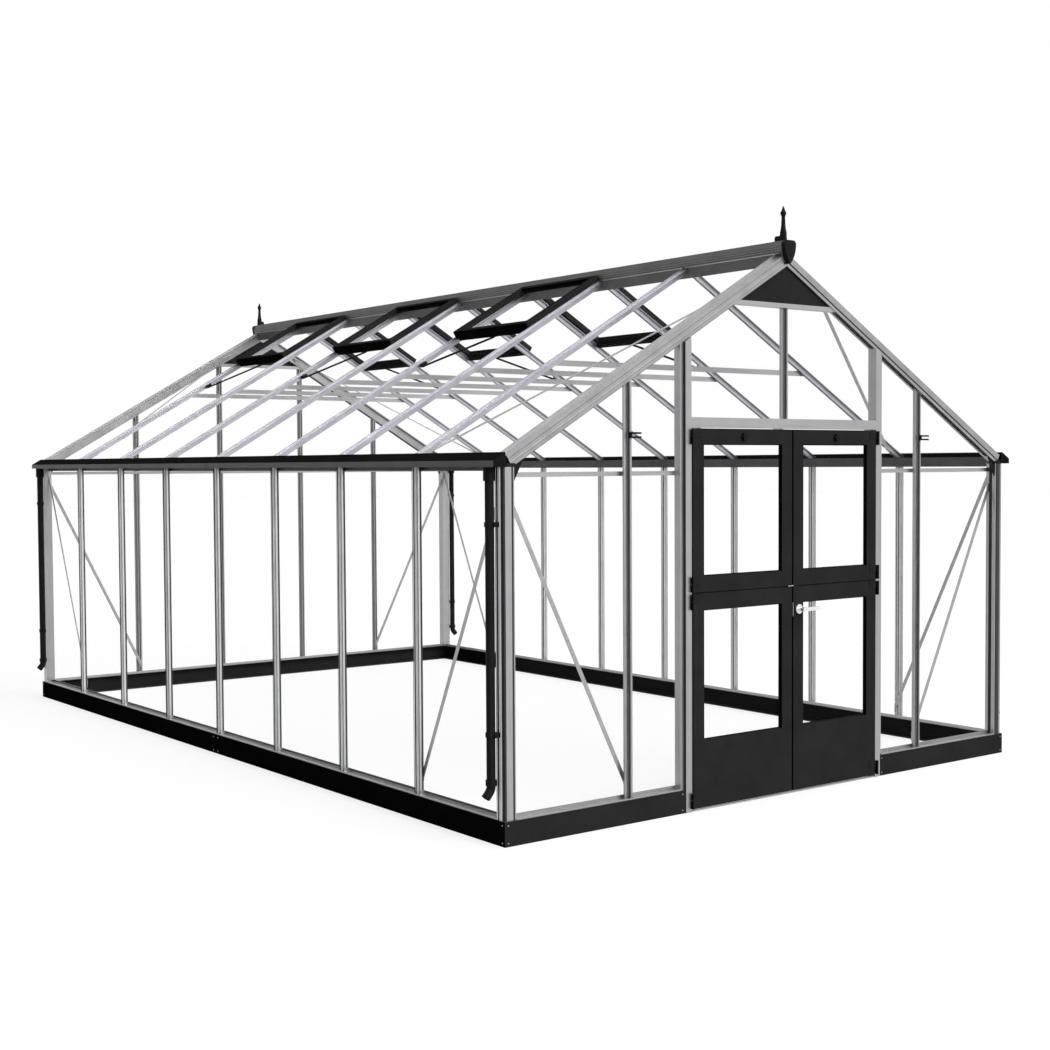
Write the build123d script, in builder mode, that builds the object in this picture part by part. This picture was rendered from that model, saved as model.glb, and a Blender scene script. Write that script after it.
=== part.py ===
"""Glass greenhouse: an aluminium glazing-bar frame on a folded steel base, with a 30 degree
roof, box gutters, six roof windows and a split double door in the front gable.

Frame: +Z up from the ground, X across the front gable, the doors face -Y.
Slope coordinates used for the roof: s runs down the slope from the ridge line, t along the
ridge and p square to the slope, all from the line where the two rafter planes meet.
"""

import os
from math import cos, radians, sin, tan

from build123d import *

# Overall layout
BAY = 730
SIDE_BAYS = 8
GABLE_INSET = 10
HALF_WIDTH = 1830
EAVE_HEIGHT = 1722
PITCH = 30
CLEARANCE = 0.3

# Steel base
BASE_HEIGHT = 115
BASE_PROUD = 12
BASE_STEEL = 2
BASE_FLANGE = 60
BASE_SEAM = 1
SPLICE_LENGTH = 120
SPLICE_HEIGHT = 95
SPLICE_THICK = 3

# Sills
SILL_THICK = 3
SILL_UPSTAND = 16
SILL_LIP_HEIGHT = 4
SILL_PROUD = 8

# Glazing bar extrusion
BAR_STEM_WIDTH = 4
BAR_STEM_DEPTH = 12
BAR_FLANGE_WIDTH = 50
BAR_FLANGE_THICK = 3
BAR_CHANNEL_WIDTH = 21
BAR_DEPTH = 39
BAR_WALL = 2.5
BAR_SLOT_WIDTH = 9

# Glass
GLASS_THICK = 4
GLASS_CLEARANCE = 2

# Corner posts
POST_SIZE = 62
POST_PROUD = 4
POST_WALL = 2.5
POST_GROOVE_WIDTH = 10
POST_GROOVE_DEPTH = 6
POST_GROOVE_OFFSET = 51
POST_NOTCH_X = 10
POST_NOTCH_Y = 21

# Gables
GABLE_BAR_X = 1080
BACK_BAR_X = 366
RAIL_HEIGHT = 22
RAIL_THICK = 3
RAIL_DROP = 47
RAIL_LAP = 60
TRANSOM_DROP = 284
TRANSOM_HEIGHT = 23
PLATE_THICK = 4
GUSSET_DROP = 76
GUSSET_THICK = 4
GUSSET_RUN = 62

# Rafters and roof bars
RAFTER_DEPTH = 58
RAFTER_WIDTH = 45
RAFTER_WALL = 3
RAFTER_HEEL = 50
RAFTER_FLANGE = 21
RAFTER_GROOVE_WIDTH = 9
RAFTER_GROOVE_DEPTH = 6
RAFTER_GROOVE_DROP = 38
ROOF_TIP_RISE = 17
ROOF_BAR_OVERHANG = 20

# Ridge and finials
RIDGE_DROP = 58
RIDGE_HEIGHT = 121
RIDGE_HALF_WIDTH = 38
RIDGE_FLANK = 36
RIDGE_CROWN = 30
RIDGE_CROWN_FLAT = 26
RIDGE_ROUND = 8
RIDGE_WALL = 4
RIDGE_CAP_THICK = 25
RIDGE_CAP_PROUD = 3
RIDGE_CAP_BELLY = 28
RIDGE_CAP_BELLY_DROP = 82
FINIAL_HEIGHT = 180
FINIAL_BASE_RADIUS = 19
FINIAL_SETBACK = 26
FINIAL_SHARES = (
    (0.95, 0.00),
    (1.00, 0.02),
    (1.00, 0.10),
    (0.90, 0.12),
    (0.95, 0.16),
    (0.90, 0.26),
    (0.70, 0.36),
    (0.58, 0.48),
    (0.50, 0.70),
    (0.56, 0.72),
    (0.76, 0.77),
    (0.80, 0.81),
    (0.76, 0.84),
    (0.52, 0.87),
    (0.45, 0.90),
    (0.28, 0.95),
    (0.12, 1.00),
    (0.00, 1.00),
)
FINIAL_FOOT_LENGTH = 48
FINIAL_FOOT_WIDTH = 30
FINIAL_FOOT_HEIGHT = 30
FINIAL_FOOT_ROUND = 9

# Gutters and downpipes
GUTTER_REACH = 64
GUTTER_WALL = 3
GUTTER_BACK_GAP = 2
GUTTER_WEB_DROP = 18
HOOD_RISE = 22
HOOD_LENGTH = 77
PIPE_RADIUS = 21
PIPE_WALL = 2
PIPE_SETBACK = 64
PIPE_ELBOW_HEIGHT = 274
PIPE_ELBOW_RADIUS = 48
PIPE_ELBOW_ANGLE = 40
PIPE_SPOUT_LENGTH = 31
PIPE_COLLAR_GROWTH = 5
PIPE_COLLAR_HEIGHT = 26
PIPE_FUNNEL_GROWTH = 7
PIPE_FUNNEL_HEIGHT = 63
CLAMP_HEIGHT = 22
CLAMP_GROWTH = 4
CLAMP_LEVELS = (496, 1451)
CLAMP_REACH = 36

# Braces and ties
BRACE_WIDTH = 22
BRACE_THICK = 3
BRACE_HEAD_DROP = 72
BRACE_FOOT = 174
GABLE_BRACE_HEAD_DROP = 134
ROOF_BRACE_HEAD = 330
ROOF_BRACE_FOOT = 2000
TIE_DROP = 572
TIE_HEIGHT = 30
TIE_THICK = 4

# Roof windows
WINDOW_SKIP_COUNT = 2
WINDOW_STEP_COUNT = 2
WINDOW_LENGTH = 613
WINDOW_LAP = 3
WINDOW_DEPTH = 34
WINDOW_RAIL = 32
WINDOW_SILL_WIDTH = 26
WINDOW_SILL_DEPTH = 12
STAY_WIDTH = 12
STAY_THICK = 10
STAY_BLOCK = 34
STAY_ANGLE = 45

# Door frame
DOOR_CLEAR_HALF_WIDTH = 675
DOOR_POST_WIDTH = 78
DOOR_POST_WALL = 3
JAMB_WIDTH = 40
JAMB_SETBACK = 4
JAMB_FLANGE_PROUD = 2
HEADER_BASE = 1906
HEADER_HEIGHT = 55
THRESHOLD_DEPTH = 52
THRESHOLD_HEIGHT = 8
THRESHOLD_ANGLE = 60

# Door leaves
LEAF_THICK = 28
LEAF_PROUD = 21
LEAF_LAP = 9
LEAF_STANDOFF = 5
LEAF_FOOT = 15
LEAF_SPLIT = 1090
LEAF_GAP = 11
SPLIT_GAP = 5.2
MEETING_X = 27
STILE_WIDTH = 75
UPPER_TOP_RAIL = 77
UPPER_BOTTOM_RAIL = 80
LOWER_TOP_RAIL = 84
KICK_PANEL_TOP = 353
REBATE_WIDTH = 9
REBATE_DEPTH = 6

# Door hinges
HINGE_HEIGHT = 76
HINGE_INSET = 3
HINGE_OFFSET = 8
HINGE_FORWARD = 9
HINGE_RADIUS = 7
HINGE_PLATE_LENGTH = 58
HINGE_PLATE_THICK = 3
PIN_RADIUS = 4
PIN_CLEARANCE = 0.05

# Lever handle
HANDLE_DROP = 122
ROSETTE_RADIUS = 25
ROSETTE_THICK = 9
SPINDLE_RADIUS = 9
SPINDLE_LENGTH = 36
LEVER_LENGTH = 112
LEVER_HEIGHT = 20
LEVER_THICK = 11

# Star knobs on the upper leaves
KNOB_DROP = 38
KNOB_RADIUS = 14
KNOB_LOBE_RADIUS = 6
KNOB_LOBES = 6
KNOB_THICK = 11
KNOB_STEM_RADIUS = 8
KNOB_STEM_LENGTH = 6

# Places worked out from the sizes above
half_length = BAY * SIDE_BAYS / 2 + GABLE_INSET
bar_lines = [BAY * (i - SIDE_BAYS / 2) for i in range(1, SIDE_BAYS)]
bay_lines = [BAY * (i + 0.5 - SIDE_BAYS / 2) for i in range(SIDE_BAYS)]
base_x = HALF_WIDTH + BASE_PROUD
base_y = half_length + BASE_PROUD
sill_top = BASE_HEIGHT + SILL_THICK
bar_back_x = HALF_WIDTH - BAR_DEPTH
bar_back_y = half_length - BAR_DEPTH
post_outer_x = HALF_WIDTH + POST_PROUD
post_outer_y = half_length + POST_PROUD
post_inner_x = post_outer_x - POST_SIZE
post_inner_y = post_outer_y - POST_SIZE
door_post_x = DOOR_CLEAR_HALF_WIDTH + DOOR_POST_WIDTH
header_top = HEADER_BASE + HEADER_HEIGHT
glass_back = BAR_STEM_DEPTH - GLASS_THICK
slope = radians(PITCH)
heel_x = post_outer_x - RAFTER_HEEL
ridge_line = EAVE_HEIGHT + heel_x * tan(slope) + RAFTER_DEPTH / cos(slope)
rail_base = EAVE_HEIGHT - RAIL_DROP
transom_base = ridge_line - TRANSOM_DROP
transom_top = transom_base + TRANSOM_HEIGHT
tie_base = ridge_line - TIE_DROP
slope_start = RIDGE_DROP * sin(slope)
slope_heel = heel_x * cos(slope) + (ridge_line - EAVE_HEIGHT) * sin(slope)
slope_end = slope_heel + ROOF_BAR_OVERHANG
roof_flange = ROOF_TIP_RISE - BAR_STEM_DEPTH
roof_bar_back = ROOF_TIP_RISE - BAR_DEPTH
window_end = slope_start + WINDOW_LENGTH
rafter_inner_y = post_outer_y - RAFTER_WIDTH
leaf_front = half_length + LEAF_PROUD
leaf_back = leaf_front - LEAF_THICK
leaf_edge = DOOR_CLEAR_HALF_WIDTH + LEAF_LAP
jamb_inner_x = leaf_edge + LEAF_STANDOFF
jamb_outer_x = jamb_inner_x + JAMB_WIDTH
jamb_front = leaf_front - JAMB_SETBACK
stop_front = leaf_back - LEAF_STANDOFF
header_foot = HEADER_BASE + LEAF_STANDOFF
hinge_x = leaf_edge + HINGE_OFFSET
hinge_y = -(leaf_front + HINGE_FORWARD)
handle_height = LEAF_SPLIT - HANDLE_DROP
knob_height = HEADER_BASE - KNOB_DROP
sides = (-1, 1)


def roof_height(x, p=0):
    """Height of the plane that lies p above the rafter plane, at a distance x from the ridge line."""
    return ridge_line + p / cos(slope) - tan(slope) * x


def slope_point(s, p):
    """Distance from the ridge line and height of a point in slope coordinates."""
    return (s * cos(slope) + p * sin(slope), ridge_line - s * sin(slope) + p * cos(slope))


def slope_plane(side, p=0):
    """Plane of one roof slope, p above the rafter plane: local x runs down the slope."""
    normal = Vector(side * sin(slope), 0, cos(slope))
    return Plane(
        origin=Vector(0, 0, ridge_line) + normal * p,
        x_dir=(side * cos(slope), 0, -sin(slope)),
        z_dir=normal,
    )


def slope_section(side, s):
    """Plane square to one slope at a distance s from the ridge: local y runs up from the roof."""
    along = Vector(side * cos(slope), 0, -sin(slope))
    return Plane(
        origin=Vector(0, 0, ridge_line) + along * s,
        x_dir=(0, side, 0),
        z_dir=along,
    )


def wall_plane(x_dir, origin):
    """Horizontal plane whose local y points out of the wall that runs along x_dir."""
    return Plane(origin=origin, x_dir=x_dir, z_dir=(0, 0, 1))


def write(builder, name):
    """Label a finished piece and write it to its own file."""
    builder.part.label = name
    export_step(builder.part, f"parts/{name}.step")


os.makedirs("parts", exist_ok=True)
under_rafter = slope_plane(1, -RAFTER_DEPTH)

# Section of the glazing bar: stem, flange and bolt channel, with the stem tip at the origin
channel_top = -BAR_STEM_DEPTH - BAR_FLANGE_THICK
with BuildSketch() as bar_section:
    with BuildLine():
        Polyline(
            (0, 0),
            (BAR_STEM_WIDTH / 2, 0),
            (BAR_STEM_WIDTH / 2, -BAR_STEM_DEPTH),
            (BAR_FLANGE_WIDTH / 2, -BAR_STEM_DEPTH),
            (BAR_FLANGE_WIDTH / 2, channel_top),
            (BAR_CHANNEL_WIDTH / 2, channel_top),
            (BAR_CHANNEL_WIDTH / 2, -BAR_DEPTH),
            (BAR_SLOT_WIDTH / 2, -BAR_DEPTH),
            (BAR_SLOT_WIDTH / 2, -BAR_DEPTH + BAR_WALL),
            (BAR_CHANNEL_WIDTH / 2 - BAR_WALL, -BAR_DEPTH + BAR_WALL),
            (BAR_CHANNEL_WIDTH / 2 - BAR_WALL, channel_top),
            (0, channel_top),
        )
        mirror(about=Plane.YZ)
    make_face()

# Steel base: folded channels mitred at the corners, open towards the inside
with BuildSketch() as base_section:
    Polygon(
        (0, 0),
        (BASE_FLANGE, 0),
        (BASE_FLANGE, BASE_STEEL),
        (BASE_STEEL, BASE_STEEL),
        (BASE_STEEL, BASE_HEIGHT - BASE_STEEL),
        (BASE_FLANGE, BASE_HEIGHT - BASE_STEEL),
        (BASE_FLANGE, BASE_HEIGHT),
        (0, BASE_HEIGHT),
        align=None,
    )

corner_mitre = Plane(origin=(base_x, base_y, 0), z_dir=(-1, 1, 0))
with BuildPart() as base_sides:
    with BuildSketch(Plane(origin=(base_x, BASE_SEAM / 2, 0), x_dir=(-1, 0, 0), z_dir=(0, 1, 0))):
        add(base_section.sketch)
    extrude(amount=base_y - BASE_SEAM / 2)
    split(bisect_by=corner_mitre, keep=Keep.BOTTOM)
    mirror(about=Plane.XZ)
    mirror(about=Plane.YZ)
write(base_sides, "base_sides")

base_end = Plane(origin=(base_x, base_y, 0), x_dir=(0, -1, 0), z_dir=(-1, 0, 0))
with BuildPart() as base_ends:
    with BuildSketch(base_end):
        add(base_section.sketch)
    extrude(amount=base_x - jamb_outer_x)
    split(bisect_by=corner_mitre, keep=Keep.TOP)
    mirror(about=Plane.YZ)
    mirror(about=Plane.XZ, mode=Mode.REPLACE)
    with BuildSketch(base_end):
        add(base_section.sketch)
    back_half = extrude(amount=base_x - BASE_SEAM / 2, mode=Mode.PRIVATE)
    back_half = split(back_half, bisect_by=corner_mitre, keep=Keep.TOP, mode=Mode.PRIVATE)
    add(back_half)
    mirror(back_half, about=Plane.YZ)
write(base_ends, "base_ends")

with BuildPart() as base_splices:
    splice_base = (BASE_HEIGHT - SPLICE_HEIGHT) / 2
    with BuildSketch(Plane.XY.offset(splice_base)):
        for side in sides:
            with Locations((side * (base_x - BASE_STEEL - SPLICE_THICK / 2), 0)):
                Rectangle(SPLICE_THICK, SPLICE_LENGTH)
        with Locations((0, base_y - BASE_STEEL - SPLICE_THICK / 2)):
            Rectangle(SPLICE_LENGTH, SPLICE_THICK)
    extrude(amount=SPLICE_HEIGHT)
write(base_splices, "base_splices")

# Sills: a plate with an inner upstand behind the bars and a low outer lip
with BuildSketch() as sill_section:
    upstand_y = -BAR_DEPTH - SILL_THICK
    Polygon(
        (upstand_y, BASE_HEIGHT),
        (SILL_PROUD, BASE_HEIGHT),
        (SILL_PROUD, sill_top + SILL_LIP_HEIGHT),
        (SILL_PROUD - SILL_THICK, sill_top + SILL_LIP_HEIGHT),
        (SILL_PROUD - SILL_THICK, sill_top),
        (-BAR_DEPTH, sill_top),
        (-BAR_DEPTH, sill_top + SILL_UPSTAND),
        (upstand_y, sill_top + SILL_UPSTAND),
        align=None,
    )

with BuildPart() as side_sills:
    with BuildSketch(Plane(origin=(HALF_WIDTH, 0, 0), x_dir=(1, 0, 0), z_dir=(0, -1, 0))):
        add(sill_section.sketch)
    extrude(amount=post_inner_y, both=True)
    mirror(about=Plane.YZ)
write(side_sills, "side_sills")

with BuildPart() as gable_sills:
    with BuildSketch(Plane(origin=(door_post_x, half_length, 0), x_dir=(0, 1, 0), z_dir=(1, 0, 0))):
        add(sill_section.sketch)
    extrude(amount=post_inner_x - door_post_x)
    mirror(about=Plane.YZ)
    mirror(about=Plane.XZ, mode=Mode.REPLACE)
    with BuildSketch(Plane(origin=(0, half_length, 0), x_dir=(0, 1, 0), z_dir=(1, 0, 0))):
        add(sill_section.sketch)
    extrude(amount=post_inner_x, both=True)
write(gable_sills, "gable_sills")

# Corner posts: square tubes with a notched outer corner and a groove on both outer faces
with BuildPart() as corner_posts:
    with BuildSketch(Plane.XY.offset(BASE_HEIGHT)):
        with Locations((post_outer_x - POST_SIZE / 2, post_outer_y - POST_SIZE / 2)):
            Rectangle(POST_SIZE, POST_SIZE)
            inner = POST_SIZE - POST_GROOVE_DEPTH - 2 * POST_WALL
            with Locations((-POST_GROOVE_DEPTH / 2, -POST_GROOVE_DEPTH / 2)):
                Rectangle(inner, inner, mode=Mode.SUBTRACT)
        with Locations((post_outer_x, post_outer_y)):
            Rectangle(POST_NOTCH_X + POST_WALL, POST_NOTCH_Y + POST_WALL, align=Align.MAX)
            Rectangle(POST_NOTCH_X, POST_NOTCH_Y, align=Align.MAX, mode=Mode.SUBTRACT)
        with Locations((post_outer_x - POST_GROOVE_OFFSET, post_outer_y)):
            Rectangle(
                POST_GROOVE_WIDTH, POST_GROOVE_DEPTH, align=(Align.CENTER, Align.MAX), mode=Mode.SUBTRACT
            )
        with Locations((post_outer_x, post_outer_y - POST_GROOVE_OFFSET)):
            Rectangle(
                POST_GROOVE_DEPTH, POST_GROOVE_WIDTH, align=(Align.MAX, Align.CENTER), mode=Mode.SUBTRACT
            )
    extrude(amount=EAVE_HEIGHT - BASE_HEIGHT)
    mirror(about=Plane.YZ)
    mirror(about=Plane.XZ)
write(corner_posts, "corner_posts")

# Side wall bars, standing on the sills under the gutters
with BuildPart() as wall_bars:
    with BuildSketch(wall_plane((0, -1, 0), (HALF_WIDTH, 0, sill_top))):
        with Locations(*[(y, 0) for y in bar_lines]):
            add(bar_section.sketch)
    extrude(amount=EAVE_HEIGHT - sill_top)
    mirror(about=Plane.YZ)
write(wall_bars, "wall_bars")

# Gable bars, cut to the slope under the rafters
with BuildPart() as back_gable_bars:
    with BuildSketch(wall_plane((1, 0, 0), (0, half_length, sill_top))):
        with Locations((GABLE_BAR_X, 0), (BACK_BAR_X, 0)):
            add(bar_section.sketch)
    extrude(amount=transom_base - sill_top)
    split(bisect_by=under_rafter, keep=Keep.BOTTOM)
    mirror(about=Plane.YZ)
write(back_gable_bars, "back_gable_bars")

with BuildPart() as front_gable_bars:
    with BuildSketch(wall_plane((-1, 0, 0), (0, -half_length, sill_top))):
        with Locations((-GABLE_BAR_X, 0)):
            add(bar_section.sketch)
    extrude(amount=transom_base - sill_top)
    split(bisect_by=under_rafter, keep=Keep.BOTTOM)
    mirror(about=Plane.YZ)
    with BuildSketch(wall_plane((-1, 0, 0), (0, -half_length, header_top))):
        add(bar_section.sketch)
    extrude(amount=transom_base - header_top)
write(front_gable_bars, "front_gable_bars")

# Door posts: a jamb beside the leaves with a flange for the glass, and a stop strip behind the leaves
jamb_depth = jamb_front - bar_back_y
flange_width = door_post_x - jamb_outer_x
with BuildPart() as door_posts:
    with BuildSketch():
        with Locations((jamb_inner_x, -jamb_front)):
            Rectangle(JAMB_WIDTH, jamb_depth, align=Align.MIN)
        with Locations((jamb_inner_x + DOOR_POST_WALL, -jamb_front + DOOR_POST_WALL)):
            Rectangle(
                JAMB_WIDTH - 2 * DOOR_POST_WALL, jamb_depth - 2 * DOOR_POST_WALL,
                align=Align.MIN, mode=Mode.SUBTRACT,
            )
    extrude(amount=ridge_line)
    with BuildSketch(Plane.XY.offset(BASE_HEIGHT)):
        with Locations((jamb_outer_x, -bar_back_y)):
            Rectangle(flange_width, BAR_DEPTH + JAMB_FLANGE_PROUD, align=(Align.MIN, Align.MAX))
        with Locations((jamb_outer_x, -bar_back_y - DOOR_POST_WALL)):
            Rectangle(
                flange_width - DOOR_POST_WALL, BAR_DEPTH + JAMB_FLANGE_PROUD - 2 * DOOR_POST_WALL,
                align=(Align.MIN, Align.MAX), mode=Mode.SUBTRACT,
            )
    extrude(amount=ridge_line)
    with BuildSketch():
        with Locations((jamb_inner_x - CLEARANCE, -bar_back_y)):
            Rectangle(
                jamb_inner_x - CLEARANCE - DOOR_CLEAR_HALF_WIDTH, stop_front - bar_back_y, align=Align.MAX
            )
    extrude(amount=header_foot)
    split(bisect_by=under_rafter, keep=Keep.BOTTOM)
    mirror(about=Plane.YZ)
write(door_posts, "door_posts")

# Door header between the jambs, and the threshold
with BuildPart() as door_header:
    with BuildSketch(Plane.YZ):
        with Locations((-(bar_back_y + jamb_depth / 2), (header_foot + header_top) / 2)):
            Rectangle(jamb_depth, header_top - header_foot)
            Rectangle(
                jamb_depth - 2 * DOOR_POST_WALL,
                header_top - header_foot - 2 * DOOR_POST_WALL,
                mode=Mode.SUBTRACT,
            )
    extrude(amount=jamb_inner_x, both=True)
write(door_header, "door_header")

with BuildPart() as threshold:
    with BuildSketch(Plane.YZ):
        with Locations((-bar_back_y - THRESHOLD_DEPTH / 2, 0)):
            Trapezoid(THRESHOLD_DEPTH, THRESHOLD_HEIGHT, THRESHOLD_ANGLE, align=(Align.CENTER, Align.MIN))
    extrude(amount=DOOR_CLEAR_HALF_WIDTH, both=True)
write(threshold, "threshold")

# Gable rafters: hollow, with a glazing stem and half flange on the inner edge
with BuildPart() as gable_rafters:
    with BuildSketch(slope_section(1, slope_start)):
        with Locations((post_outer_y - RAFTER_WIDTH / 2, -RAFTER_DEPTH / 2)):
            Rectangle(RAFTER_WIDTH, RAFTER_DEPTH)
        with Locations((post_outer_y - RAFTER_GROOVE_DEPTH / 2, -RAFTER_GROOVE_DROP)):
            Rectangle(RAFTER_GROOVE_DEPTH, RAFTER_GROOVE_WIDTH, mode=Mode.SUBTRACT)
        hollow_width = RAFTER_WIDTH - RAFTER_GROOVE_DEPTH - 2 * RAFTER_WALL
        with Locations((rafter_inner_y + RAFTER_WALL + hollow_width / 2, -RAFTER_DEPTH / 2)):
            Rectangle(hollow_width, RAFTER_DEPTH - 2 * RAFTER_WALL, mode=Mode.SUBTRACT)
        with Locations((rafter_inner_y + BAR_STEM_WIDTH / 2, ROOF_TIP_RISE / 2)):
            Rectangle(BAR_STEM_WIDTH, ROOF_TIP_RISE)
        with Locations((rafter_inner_y - RAFTER_FLANGE / 2, roof_flange - BAR_FLANGE_THICK / 2)):
            Rectangle(RAFTER_FLANGE, BAR_FLANGE_THICK)
    extrude(amount=slope_heel - slope_start)
    split(bisect_by=Plane.YZ.offset(CLEARANCE / 2), keep=Keep.TOP)
    mirror(about=Plane.YZ)
    mirror(about=Plane.XZ)
write(gable_rafters, "gable_rafters")

# Roof bars, butting on the ridge and lapping over the gutters
with BuildPart() as roof_bars:
    with BuildSketch(slope_section(1, slope_start)):
        with Locations(*[(y, ROOF_TIP_RISE) for y in bar_lines]):
            add(bar_section.sketch)
    extrude(amount=slope_end - slope_start)
    mirror(about=Plane.YZ)
write(roof_bars, "roof_bars")

# Ridge: a hollow section whose lower flanks are square to the slopes, under a rounded crown
ridge_tip = ridge_line - RIDGE_DROP
ridge_top = ridge_tip + RIDGE_HEIGHT
ridge_shoulder = ridge_top - RIDGE_CROWN
with BuildPart() as ridge:
    with BuildSketch(Plane.XZ) as ridge_section:
        Polygon(
            (0, ridge_tip),
            (RIDGE_FLANK, ridge_tip + RIDGE_FLANK / tan(slope)),
            (RIDGE_HALF_WIDTH, ridge_shoulder),
            (RIDGE_CROWN_FLAT, ridge_top),
            (-RIDGE_CROWN_FLAT, ridge_top),
            (-RIDGE_HALF_WIDTH, ridge_shoulder),
            (-RIDGE_FLANK, ridge_tip + RIDGE_FLANK / tan(slope)),
            align=None,
        )
        fillet(ridge_section.vertices().group_by(Axis.Z)[2:], radius=RIDGE_ROUND)
        offset(amount=-RIDGE_WALL, mode=Mode.SUBTRACT)
    extrude(amount=post_outer_y, both=True)
write(ridge, "ridge")

# Ridge end caps: fuller shields over both ends
cap_half_width = RIDGE_HALF_WIDTH + RIDGE_CAP_PROUD
with BuildPart() as ridge_end_caps:
    with BuildSketch(Plane.XZ.offset(post_outer_y)):
        with BuildLine():
            Line((0, ridge_top), (RIDGE_CROWN_FLAT - RIDGE_ROUND, ridge_top))
            ThreePointArc(
                (RIDGE_CROWN_FLAT - RIDGE_ROUND, ridge_top),
                (cap_half_width - RIDGE_ROUND / 2, ridge_top - RIDGE_ROUND),
                (cap_half_width, ridge_shoulder),
            )
            ThreePointArc(
                (cap_half_width, ridge_shoulder),
                (RIDGE_CAP_BELLY, ridge_top - RIDGE_CAP_BELLY_DROP),
                (0, ridge_tip),
            )
            mirror(about=Plane.YZ)
        make_face()
    extrude(amount=RIDGE_CAP_THICK)
    mirror(about=Plane.XZ)
write(ridge_end_caps, "ridge_end_caps")

# Finials: turned spires with a bud near the top, each on a foot along the ridge;
# their radii and heights are shares of the base radius and the height
with BuildPart() as finials:
    turning = Plane(
        origin=(0, post_outer_y - FINIAL_SETBACK, ridge_top), x_dir=(1, 0, 0), z_dir=(0, -1, 0)
    )
    with BuildSketch(turning):
        Polygon(
            (0, 0),
            *[(r * FINIAL_BASE_RADIUS, h * FINIAL_HEIGHT) for r, h in FINIAL_SHARES],
            align=None,
        )
    revolve(axis=Axis((0, post_outer_y - FINIAL_SETBACK, 0), (0, 0, 1)))
    with BuildPart(mode=Mode.PRIVATE) as foot:
        with BuildSketch(Plane.XY.offset(ridge_top)):
            with Locations((0, post_outer_y - FINIAL_SETBACK)):
                Rectangle(FINIAL_FOOT_WIDTH, FINIAL_FOOT_LENGTH, align=(Align.CENTER, Align.MAX))
        extrude(amount=FINIAL_FOOT_HEIGHT)
        fillet(foot.faces().sort_by(Axis.Z)[-1].edges(), radius=FINIAL_FOOT_ROUND)
    add(foot.part)
    mirror(about=Plane.XZ)
write(finials, "finials")

# Gable rails behind the bars, at eave level
with BuildPart() as gable_rails:
    rail_y = bar_back_y - RAIL_THICK / 2
    front_run = post_inner_x - door_post_x + RAIL_LAP
    with BuildSketch(Plane.XY.offset(rail_base)):
        with Locations((0, rail_y)):
            Rectangle(2 * post_inner_x, RAIL_THICK)
        for side in sides:
            with Locations((side * (post_inner_x - front_run / 2), -rail_y)):
                Rectangle(front_run, RAIL_THICK)
    extrude(amount=RAIL_HEIGHT)
write(gable_rails, "gable_rails")


def under_slope_x(z, gap=0):
    """Distance from the ridge line to the rafter underside at a height z, less a gap."""
    return (roof_height(0, -RAFTER_DEPTH) - z) / tan(slope) - gap


# Gable transoms and the plain plates above them
with BuildPart() as gable_transoms:
    with BuildSketch(Plane.XZ.offset(bar_back_y)):
        Polygon(
            (-under_slope_x(transom_base), transom_base),
            (under_slope_x(transom_base), transom_base),
            (under_slope_x(transom_top), transom_top),
            (-under_slope_x(transom_top), transom_top),
            align=None,
        )
    extrude(amount=BAR_DEPTH)
    mirror(about=Plane.XZ)
write(gable_transoms, "gable_transoms")

with BuildPart() as gable_plates:
    with BuildSketch(Plane.XZ.offset(half_length - BAR_STEM_DEPTH)):
        Polygon(
            (-under_slope_x(transom_top), transom_top),
            (under_slope_x(transom_top), transom_top),
            (0, roof_height(0, -RAFTER_DEPTH)),
            align=None,
        )
    extrude(amount=PLATE_THICK)
    mirror(about=Plane.XZ)
write(gable_plates, "gable_plates")

# Eave gussets between the corner posts and the rafters
with BuildPart() as eave_gussets:
    gusset_x = post_inner_x - GUSSET_RUN
    with BuildSketch(Plane.XZ.offset(half_length - glass_back + CLEARANCE)):
        Polygon(
            (post_inner_x, EAVE_HEIGHT - GUSSET_DROP),
            (post_inner_x, roof_height(post_inner_x, -RAFTER_DEPTH)),
            (gusset_x, roof_height(gusset_x, -RAFTER_DEPTH)),
            align=None,
        )
    extrude(amount=GUSSET_THICK)
    mirror(about=Plane.YZ)
    mirror(about=Plane.XZ)
write(eave_gussets, "eave_gussets")

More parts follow.
